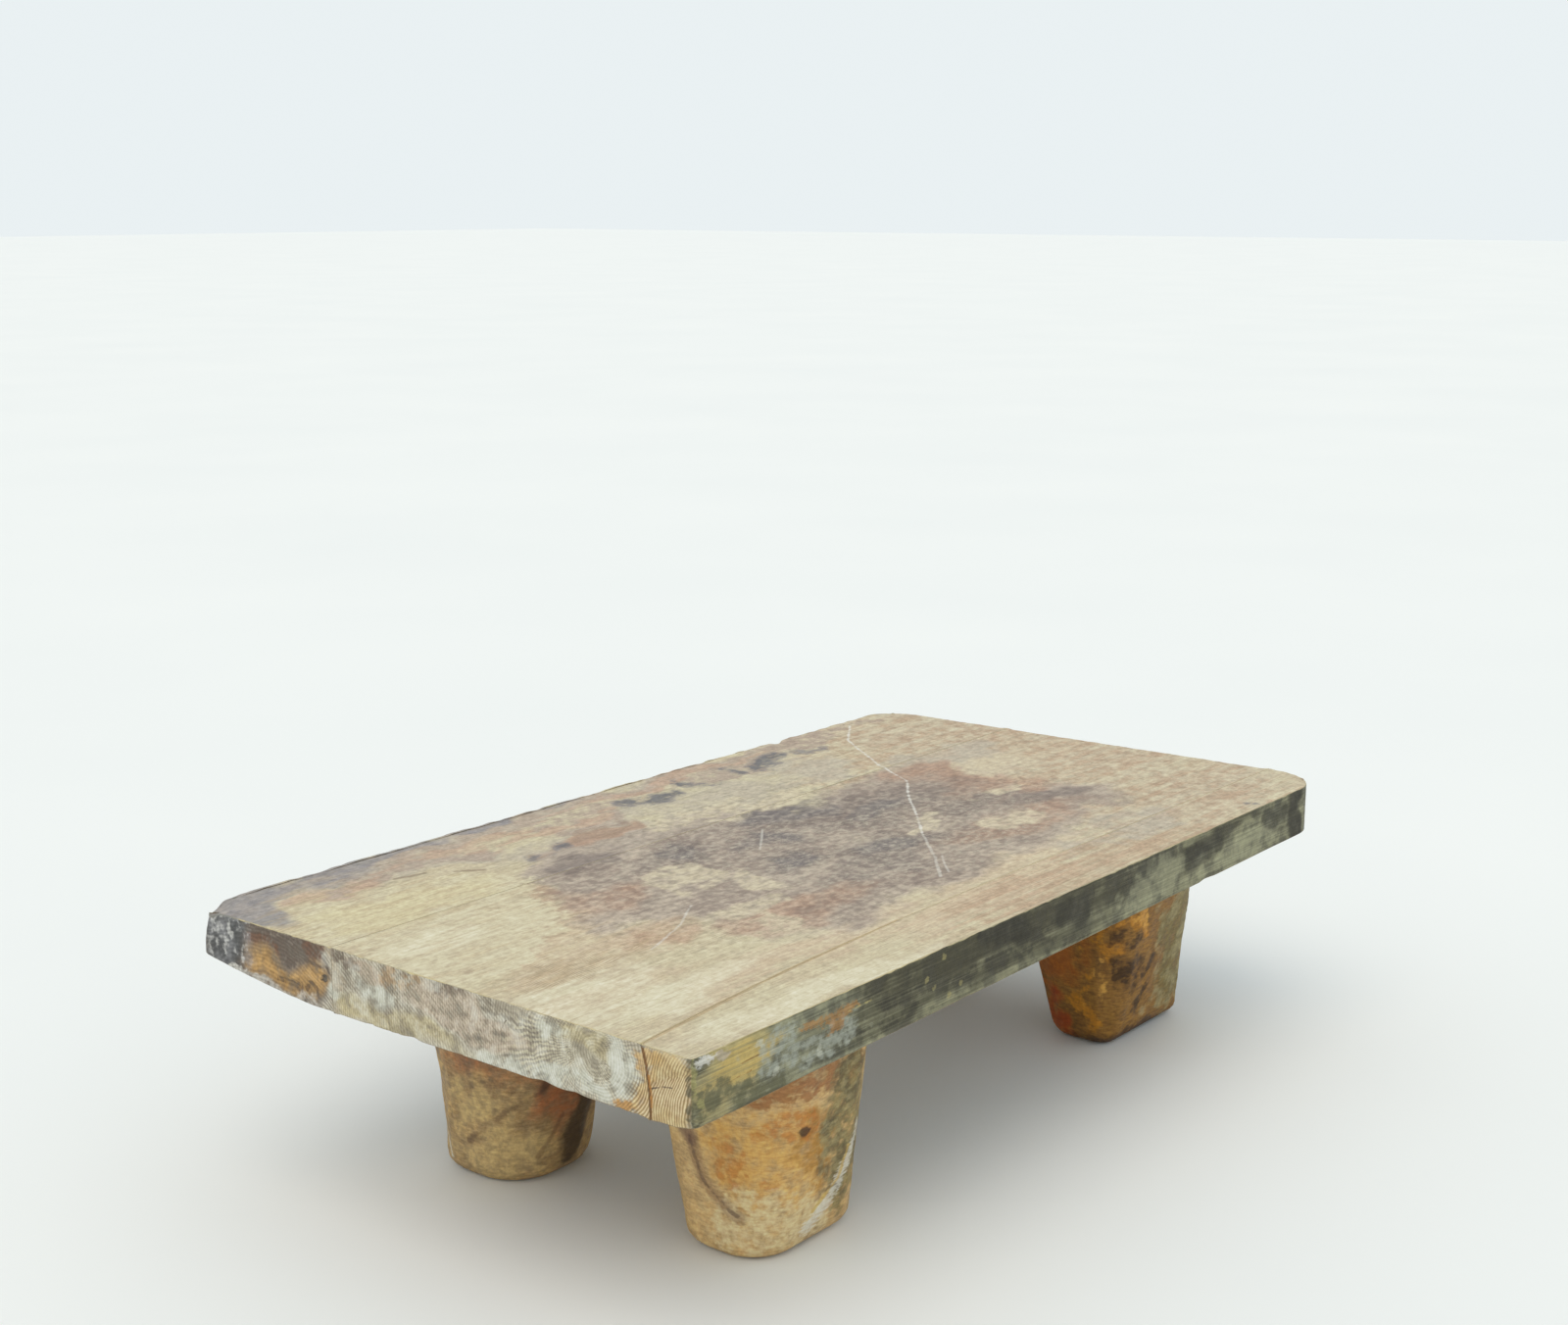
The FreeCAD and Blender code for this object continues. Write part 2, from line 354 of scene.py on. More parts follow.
def new_tree(name: str, kind: str, ins: dict[str, str], out: str, out_kind: str) -> Tree:
    """An empty node group with named sockets.

    Args:
        name: Name of the group.
        kind: GeometryNodeTree or ShaderNodeTree.
        ins: Kinds of its inputs by name, such as Float.
        out: Name of its output.
        out_kind: Kind of its output.

    Returns:
        The group.
    """
    tree = bpy.data.node_groups.new(name, kind)
    for socket, socket_kind in ins.items():
        tree.interface.new_socket(
            socket, in_out="INPUT", socket_type="NodeSocket" + socket_kind)
    tree.interface.new_socket(out, in_out="OUTPUT", socket_type="NodeSocket" + out_kind)
    return tree


def run_tree(piece: Piece, tree: Tree, values: dict[str, object]) -> None:
    """Run a geometry tree on a piece and keep the plain mesh that comes out.

    Args:
        piece: The object that the tree works on.
        tree: The geometry tree.
        values: Values of its named inputs.
    """
    modifier = piece.modifiers.new(tree.name, "NODES")
    modifier.node_group = tree
    sockets = {
        item.name: item.identifier
        for item in tree.interface.items_tree
        if item.item_type == "SOCKET" and item.in_out == "INPUT"
    }
    for name, value in values.items():
        modifier[sockets[name]] = value
    bake_modifiers(piece)


@dataclass(frozen=True)
class Weathering:
    """Hollows and raised grain that wear leaves on old wood.

    Args:
        hollow_size: Distance between shallow hollows.
        hollow_depth: Their greatest depth.
        grain_size: Length of a grain ridge along X, Y and Z.
        grain_depth: Depth between ridges.
        seed: Picks the pattern.
    """

    hollow_size: float
    hollow_depth: float
    grain_size: Vec3
    grain_depth: float
    seed: int

    @staticmethod
    @cache
    def tree() -> Tree:
        """The geometry tree, built once. It only ever sinks the surface.

        Returns:
            The tree.
        """
        tree = new_tree("Weathered surface", "GeometryNodeTree", {
            "Geometry": "Geometry", "Hollow Size": "Float", "Hollow Depth": "Float",
            "Grain Size": "Vector", "Grain Depth": "Float", "Seed": "Float",
            "Material": "Material"}, "Geometry", "Geometry")
        given = add_node(tree, "NodeGroupInput").outputs
        place = add_node(tree, "GeometryNodeInputPosition").outputs[0]
        normal = add_node(tree, "GeometryNodeInputNormal").outputs[0]
        share = add_node(tree, "GeometryNodeInputNamedAttribute", {"Name": "weather"},
                         data_type="FLOAT").outputs[0]
        per_hollow = number(tree, "DIVIDE", 1.0, given["Hollow Size"])
        hollow, grain = [
            add_node(tree, "ShaderNodeTexNoise",
                     {"Vector": where, "W": given["Seed"], "Scale": 1.0, "Detail": detail},
                     noise_dimensions="4D").outputs[0]
            for where, detail in (
                (vector(tree, "SCALE", place, per_hollow), 2.0),
                (vector(tree, "DIVIDE", place, given["Grain Size"]), 3.0))]
        hollow_sink = number(tree, "MULTIPLY", hollow, given["Hollow Depth"])
        sink = number(tree, "MULTIPLY_ADD", grain, given["Grain Depth"], hollow_sink)
        inwards = number(tree, "MULTIPLY", number(tree, "MULTIPLY", sink, share), -1.0)
        offset = vector(tree, "SCALE", normal, inwards)
        moved = add_node(tree, "GeometryNodeSetPosition",
                         {"Geometry": given["Geometry"], "Offset": offset})
        real = add_node(tree, "GeometryNodeRealizeInstances", {"Geometry": moved.outputs[0]})
        dressed = add_node(tree, "GeometryNodeSetMaterial",
                           {"Geometry": real.outputs[0], "Material": given["Material"]})
        add_node(tree, "NodeGroupOutput", {"Geometry": dressed.outputs[0]})
        return tree

    def apply(
        self, piece: Piece, share: Array, material: bpy.types.Material
    ) -> None:
        """Weather a piece by a share from 0 to 1 for each point, and set its material."""
        mark_points(piece.data, "weather", share)
        run_tree(piece, self.tree(), {
            "Hollow Size": self.hollow_size * MM,
            "Hollow Depth": self.hollow_depth * MM,
            "Grain Size": tuple(size * MM for size in self.grain_size),
            "Grain Depth": self.grain_depth * MM,
            "Seed": float(self.seed),
            "Material": material,
        })


# Finishes

class Pattern(Enum):
    """What breaks a coat of colour up."""

    FINE = "fine grain lines"
    BROAD = "broad grain bands"
    MOTTLE = "blotches of a thumb's width"
    CLOUD = "clouds of a hand's width"
    STREAK = "streaks of a finger's length"
    GRIT = "worn bits of a few millimetres"
    SPECK = "specks"
    RINGS = "growth rings"
    HATCH = "slanting saw marks"
    RAYS = "rays across the rings"


FINE, BROAD, MOTTLE, CLOUD, STREAK, GRIT, SPECK, RINGS, HATCH, RAYS = Pattern

# For each noise: size of a feature along X, Y and Z, finer layers, and how rough they are
NOISES = {
    MOTTLE: ((12.5, 11.5, 11.5), 5.0, 0.6),
    CLOUD: ((48.0, 38.0, 38.0), 7.0, 0.6),
    STREAK: ((38.0, 6.0, 5.0), 5.0, 0.62),
    GRIT: ((6.5, 5.0, 5.0), 3.0, 0.55),
    SPECK: ((3.4, 2.2, 2.2), 3.0, 0.66),
}
BROAD_LIMIT = 220.0


def linear(code: str) -> tuple[float, float, float, float]:
    """Linear colour of an sRGB hex code.

    Args:
        code: Six hex digits after a hash.

    Returns:
        Red, green, blue and full alpha.
    """
    shares = [int(code[place:place + 2], 16) / 255 for place in (1, 3, 5)]
    red, green, blue = [
        share / 12.92 if share <= 0.04045 else ((share + 0.055) / 1.055) ** 2.4
        for share in shares
    ]
    return red, green, blue, 1.0


@dataclass(frozen=True)
class Patch:
    """A soft-edged area of a coat.

    Args:
        at: Its middle.
        half: Its half sizes along X, Y and Z.
        turn: Degrees that a wide one is turned, anticlockwise from above.
    """

    at: Vec3
    half: Vec3
    turn: float = 0.0
    core: ClassVar[float] = 0.4
    rim: ClassVar[float] = 1.45
    fade: ClassVar[float] = 1.1
    finest: ClassVar[float] = 5.0

    def meets(self, low: Array, high: Array) -> bool:
        """Whether the patch can reach the box between two corners."""
        reach = (max(self.half) if self.turn else np.array(self.half)) * 1.5
        return bool(np.all(np.add(self.at, reach) > low)
                    and np.all(np.subtract(self.at, reach) < high))

    @property
    def small(self) -> bool:
        """Whether it is finer than the mesh can carry."""
        return min(self.half) < self.finest

    def cover(self, places: Array) -> Array:
        """The patch at given places.

        Args:
            places: An (n, 3) array.

        Returns:
            For each place a value that falls from 1 in the patch's middle to 0.
        """
        turn = Euler((0.0, 0.0, math.radians(self.turn))).to_matrix()
        reach = np.linalg.norm((places - self.at) @ np.array(turn) / self.half, axis=1)
        return ease(np.clip((self.rim - reach) / self.fade, 0, 1))

    def mask(self, skin: "Skin") -> Socket:
        """The patch as a shader mask that is 1 in its middle."""
        return skin.use(patch_group(), {
            "Vector": skin.uneven, "Middle": self.at, "Half": self.half})


@dataclass(frozen=True)
class Line:
    """A thin mark, such as a scratch, a check or a seam of dirt.

    Args:
        start: One end.
        end: The other end.
        width: How far it fades on each side.
    """

    start: Vec3
    end: Vec3
    width: float
    small: ClassVar[bool] = True

    def meets(self, low: Array, high: Array) -> bool:
        """Whether the mark can reach the box between two corners."""
        ends = np.array([self.start, self.end])
        return bool(np.all(ends.max(0) + self.width * 2 > low)
                    and np.all(ends.min(0) - self.width * 2 < high))

    def mask(self, skin: "Skin") -> Socket:
        """The mark as a shader mask that is 1 along its middle."""
        return skin.use(line_group(), {
            "Vector": skin.steady, "Start": self.start, "End": self.end, "Width": self.width})


def path(width: float, *points: Vec3) -> tuple[Line, ...]:
    """A bent mark through several points, as its straight parts."""
    return tuple(Line(start, end, width) for start, end in zip(points, points[1:]))


@dataclass(frozen=True)
class Coat:
    """One colour laid over what is below it.

    Args:
        colour: Its sRGB hex code.
        strength: How much it covers.
        where: Patches and marks that it covers, or nothing for everywhere.
        pattern: What breaks it up.
        amount: How strongly the pattern breaks it up.
        soft: How softly its edge fades.
        fill: How full its middle is. Below 0.6 the pattern leaves gaps there too.
    """

    colour: str
    strength: float
    where: tuple[Patch | Line, ...]
    pattern: Pattern
    amount: float
    soft: float = 0.4
    fill: float = 1.0


def coats(*rows: tuple[object, ...]) -> tuple[Coat, ...]:
    """Coats from rows of their values, lowest coat first."""
    return tuple(Coat(*row) for row in rows)


@cache
def patch_group() -> Tree:
    """The node group of a soft ellipsoid, built once.

    Returns:
        The group.
    """
    tree = new_tree("Soft patch", "ShaderNodeTree", dict.fromkeys(
        ("Vector", "Middle", "Half"), "Vector"), "Mask", "Float")
    given = add_node(tree, "NodeGroupInput").outputs
    offset = vector(tree, "SUBTRACT", given["Vector"], given["Middle"])
    reach = vector(tree, "LENGTH", vector(tree, "DIVIDE", offset, given["Half"]))
    mask = remap(tree, reach, Patch.core, Patch.rim, (1.0, 0.0))
    add_node(tree, "NodeGroupOutput", {"Mask": mask})
    return tree


@cache
def line_group() -> Tree:
    """The node group of a mark between two points, built once.

    Returns:
        The group.
    """
    tree = new_tree("Thin mark", "ShaderNodeTree", {
        "Vector": "Vector", "Start": "Vector", "End": "Vector", "Width": "Float"},
        "Mask", "Float")
    given = add_node(tree, "NodeGroupInput").outputs
    offset = vector(tree, "SUBTRACT", given["Vector"], given["Start"])
    run = vector(tree, "SUBTRACT", given["End"], given["Start"])
    along = vector(tree, "DOT_PRODUCT", offset, run)
    whole = vector(tree, "DOT_PRODUCT", run, run)
    share = number(tree, "DIVIDE", along, whole, use_clamp=True)
    away = vector(tree, "DISTANCE", offset, vector(tree, "SCALE", run, share))
    mask = remap(tree, away, 0.0, given["Width"], (1.0, 0.0))
    add_node(tree, "NodeGroupOutput", {"Mask": mask})
    return tree


@cache
def coat_group() -> Tree:
    """The node group that lets a pattern break a mask up, built once.

    Returns:
        The group.
    """
    tree = new_tree("Broken coat", "ShaderNodeTree", dict.fromkeys(
        ("Mask", "Fill", "Pattern", "Amount", "Low", "High", "Strength"), "Float"),
        "Mask", "Float")
    given = add_node(tree, "NodeGroupInput").outputs
    swing = number(tree, "SUBTRACT", given["Pattern"], 0.5)
    filled = number(tree, "MINIMUM", given["Mask"], given["Fill"])
    broken = number(tree, "MULTIPLY_ADD", swing, given["Amount"], filled)
    edge = remap(tree, broken, given["Low"], given["High"])
    limit = number(tree, "MULTIPLY", given["Mask"], 4.0, use_clamp=True)
    held = number(tree, "MULTIPLY", edge, limit)
    mask = number(tree, "MULTIPLY", held, given["Strength"])
    add_node(tree, "NodeGroupOutput", {"Mask": mask})
    return tree


@dataclass(frozen=True)
class Grain:
    """How the wood of one piece grew and was cut.

    Args:
        run: Length of a grain line along X, Y and Z: long on the axis that it follows.
        pith: A point on the middle line of the trunk.
        pith_axis: The way of that line.
        ring: Distance between two growth rings.
        seed: Moves every pattern, so that no two pieces are alike.
    """

    run: Vec3
    pith: Vec3
    pith_axis: Vec3
    ring: float
    seed: float


class Skin:
    """The node tree of one wooden piece while its coats are laid on."""

    def __init__(self, name: str, grain: Grain, low: Array, high: Array) -> None:
        """Start a material with its coordinates.

        Args:
            name: Name of the material.
            grain: How the wood grew.
            low: Lowest corner of the piece.
            high: Its highest corner.
        """
        self.material = bpy.data.materials.new(name)
        self.material.use_nodes = True
        self.tree = self.material.node_tree
        self.tree.nodes.clear()
        self.grain = grain
        self.low = low
        self.high = high
        self.patterns: dict[Pattern, Socket] = {}
        self.painted: dict[str, tuple[Patch, ...]] = {}
        self.raw = add_node(self.tree, "ShaderNodeTexCoord").outputs["Object"]
        self.place = vector(self.tree, "SCALE", self.raw, 1 / MM)
        self.uneven = self.shifted(16.0, 5.0, 4.0)
        self.steady = self.shifted(30.0, 1.2, 2.0)

    def texture(self, size: Vec3, detail: float, rough: float) -> bpy.types.Node:
        """A noise node, by its size along X, Y and Z, its finer layers and their strength."""
        scaled = add_node(
            self.tree, "ShaderNodeMapping",
            {"Vector": self.raw, "Scale": tuple(1 / (MM * length) for length in size),
             "Location": tuple(self.grain.seed * step for step in (3.7, 5.3, 7.1))})
        return add_node(
            self.tree, "ShaderNodeTexNoise",
            {"Vector": scaled.outputs[0], "Scale": 1.0, "Detail": detail, "Roughness": rough})

    def shifted(self, size: float, reach: float, detail: float = 1.0) -> Socket:
        """Coordinates that wander.

        Args:
            size: How far apart two wanderings are.
            reach: How far they wander.
            detail: How many finer wanderings they have.

        Returns:
            The new coordinates, in millimetres.
        """
        noise = self.texture((size, size, size), detail, 0.62).outputs["Color"]
        swing = vector(self.tree, "SUBTRACT", noise, (0.5, 0.5, 0.5))
        return vector(self.tree, "MULTIPLY_ADD", swing, (reach * 2,) * 3, self.place)

    def use(self, group: Tree, inputs: dict[str, object]) -> Socket:
        """Add a node group and return its output."""
        return add_node(self.tree, "ShaderNodeGroup", inputs, node_tree=group).outputs[0]

    def ring_distance(self) -> Socket:
        """Distance from the middle line of the trunk, a little uneven."""
        offset = vector(self.tree, "SUBTRACT", self.shifted(22.0, 4.0), self.grain.pith)
        across = vector(self.tree, "CROSS_PRODUCT", offset, self.grain.pith_axis)
        return vector(self.tree, "LENGTH", across)

    def wave(self, value: Socket, pitch: float) -> Socket:
        """Even waves from 0 to 1 on a rising value, which rises by the pitch for each."""
        turn = number(self.tree, "MULTIPLY", value, 2 * math.pi / pitch)
        return number(self.tree, "MULTIPLY_ADD", number(self.tree, "SINE", turn), 0.5, 0.5)

    def pattern(self, kind: Pattern) -> Socket:
        """The socket of a pattern, made when it is first asked for.

        Args:
            kind: Which pattern.

        Returns:
            A value around 0.5.
        """
        if kind in self.patterns:
            return self.patterns[kind]
        run = self.grain.run
        if kind in NOISES:
            made = self.texture(*NOISES[kind]).outputs[0]
        elif kind is FINE:
            made = self.texture(run, 4.0, 0.62).outputs[0]
        elif kind is BROAD:
            broad = tuple(min(size * 6.0, BROAD_LIMIT) for size in run)
            made = self.texture(broad, 5.0, 0.6).outputs[0]
        elif kind is RINGS:
            made = self.wave(self.ring_distance(), self.grain.ring)
        elif kind is HATCH:
            slant = (0.0, 0.62, -0.78)
            made = self.wave(vector(self.tree, "DOT_PRODUCT", self.shifted(14.0, 1.1), slant), 2.3)
        else:
            offset = vector(self.tree, "SUBTRACT", self.uneven, self.grain.pith)
            parts = add_node(self.tree, "ShaderNodeSeparateXYZ", {0: offset}).outputs
            angle = number(self.tree, "ARCTAN2", parts[1], parts[2])
            made = self.wave(angle, math.radians(4.0))
        self.patterns[kind] = made
        return made

    def cover(self, coat: Coat) -> Socket | None:
        """Where a coat shows on this piece.

        Args:
            coat: The coat.

        Returns:
            Its mask, or None when it doesn't reach the piece.
        """
        reached = [part for part in coat.where if part.meets(self.low, self.high)]
        masks = [part.mask(self) for part in reached if part.small]
        wide = tuple(part for part in reached if not part.small)
        if wide:
            name = f"coat_{len(self.painted):02d}"
            self.painted[name] = wide
            masks.append(add_node(
                self.tree, "ShaderNodeAttribute", attribute_name=name).outputs["Fac"])
        if coat.where and not masks:
            return None
        while len(masks) > 1:
            pairs = [masks[place:place + 2] for place in range(0, len(masks), 2)]
            masks = [pair[0] if len(pair) == 1 else number(self.tree, "MAXIMUM", *pair)
                     for pair in pairs]
        return self.use(coat_group(), {
            "Mask": masks[0] if masks else 0.5,
            "Fill": coat.fill,
            "Amount": coat.amount,
            "Low": 0.5 - coat.soft,
            "High": 0.5 + coat.soft,
            "Strength": coat.strength,
            "Pattern": self.pattern(coat.pattern),
        })

    def lay(self, ground: str, coats: tuple[Coat, ...]) -> Socket:
        """Lay coats over a ground colour.

        Args:
            ground: The ground's sRGB hex code.
            coats: The coats, lowest first.

        Returns:
            The colour.
        """
        colour = add_node(self.tree, "ShaderNodeRGB").outputs[0]
        colour.default_value = linear(ground)
        for coat in coats:
            mask = self.cover(coat)
            if mask is not None:
                colour = mixed(self.tree, mask, colour, linear(coat.colour))
        return colour

    def relief(self, parts: dict[Pattern, float]) -> Socket:
        """Height of a surface made of several patterns.

        Args:
            parts: How high each pattern stands, in millimetres.

        Returns:
            The height.
        """
        height = add_node(self.tree, "ShaderNodeValue").outputs[0]
        height.default_value = 0.0
        for kind, size in parts.items():
            height = number(self.tree, "MULTIPLY_ADD", self.pattern(kind), size, height)
        return height

    def tint(self, colour: Socket, depths: dict[Pattern, float]) -> Socket:
        """Let patterns show faintly through a colour.

        Args:
            colour: The colour.
            depths: How strongly each pattern shows.

        Returns:
            The new colour.
        """
        for kind, depth in depths.items():
            grey = remap(
                self.tree, self.pattern(kind), 0.3, 0.7, (0.5 - depth, 0.5 + depth), "LINEAR")
            colour = mixed(self.tree, 1.0, colour, grey, blend_type="OVERLAY")
        return colour

    def paint(self, piece: Piece) -> None:
        """Work the wide patches out at the points of the finished piece.

        Args:
            piece: The piece, whose mesh keeps them for its material.
        """
        places = mesh_points(piece.data).astype(float) / MM
        seed = int(self.grain.seed)
        # Stains wick further along the grain than across it
        wander = np.zeros_like(places)
        for size, reach in ((64.0, (16.0, 8.0, 5.0)), (19.0, (7.0, 4.0, 3.0))):
            for axis in range(3):
                wander[:, axis] += reach[axis] * waver(places, size, seed + 7 * axis + int(size))
        ragged = places + wander
        for name, patches in self.painted.items():
            mark_points(piece.data, name, np.max([patch.cover(ragged) for patch in patches], axis=0))

    def facing(self, way: Vec3, low: float, high: float) -> Socket:
        """Where the surface faces one way or its opposite.

        Args:
            way: The way, along one axis. Only a way up or down has a sign.
            low: The share of facing at which the mask starts.
            high: The share at which it is full.

        Returns:
            The mask.
        """
        normal = add_node(self.tree, "ShaderNodeNewGeometry").outputs["Normal"]
        facing = vector(self.tree, "DOT_PRODUCT", normal, way)
        if way[2] == 0:
            facing = number(self.tree, "ABSOLUTE", facing)
        return remap(self.tree, facing, low, high)

    def finish(self, colour: Socket, height: Socket, rough: Vec2, bump: float = 0.8) -> "Skin":
        """Close the material with its gloss and relief.

        Args:
            colour: The colour.
            height: The height in millimetres.
            rough: Roughness on the ridges and in the hollows.
            bump: Strength of the relief.

        Returns:
            The skin itself.
        """
        gloss = remap(self.tree, self.pattern(MOTTLE), 0.35, 0.65, rough, "LINEAR")
        relief = add_node(
            self.tree, "ShaderNodeBump", {"Height": height, "Strength": bump, "Distance": MM})
        # Dry, unvarnished wood: the refractive index of cellulose with air in its pores.
        shader = add_node(
            self.tree, "ShaderNodeBsdfPrincipled",
            {"Base Color": colour, "Roughness": gloss, "IOR": 1.42, "Normal": relief.outputs[0]})
        add_node(self.tree, "ShaderNodeOutputMaterial", {"Surface": shader.outputs[0]})
        return self


# Where the upper face, the left end and the front side of the top lie, and how far into the
# wood a patch reaches: less far on the front, where the strip is narrow
TOP_Z = 176.0
END_X = -360.0
FRONT_Y = -200.0
SOAK = 60.0
FRONT_SOAK = 18.0


def on_top(*spots: Spot) -> tuple[Patch, ...]:
    """Patches on the upper face, by middle, half length, half width and degrees of turn."""
    return tuple(Patch((x, y, TOP_Z), (along, across, SOAK), *turn)
                 for x, y, along, across, *turn in spots)


def on_end(*spots: Spot) -> tuple[Patch, ...]:
    """Patches on the left end, each by middle across and up, half width and half height."""
    return tuple(Patch((END_X, y, z), (SOAK, across, high)) for y, z, across, high in spots)


def on_front(*spots: Spot) -> tuple[Patch, ...]:
    """Patches on the front, each by middle along and up, half length and half height."""
    return tuple(Patch((x, FRONT_Y, z), (along, FRONT_SOAK, high)) for x, z, along, high in spots)


def patches(*spots: Spot) -> tuple[Patch, ...]:
    """Patches anywhere, each by its middle and its half sizes along X, Y and Z."""
    return tuple(Patch(spot[:3], spot[3:]) for spot in spots)


def top_path(width: float, *points: Vec2) -> tuple[Line, ...]:
    """A bent mark on the upper face, through points in plan."""
    return path(width, *[(x, y, TOP_Z) for x, y in points])


def end_path(width: float, *points: Vec2) -> tuple[Line, ...]:
    """A bent mark on the left end, through points across and up."""
    return path(width, *[(END_X, y, z) for y, z in points])


def front_path(width: float, *points: Vec2) -> tuple[Line, ...]:
    """A bent mark on the front side, through points along and up."""
    return path(width, *[(x, FRONT_Y, z) for x, z in points])


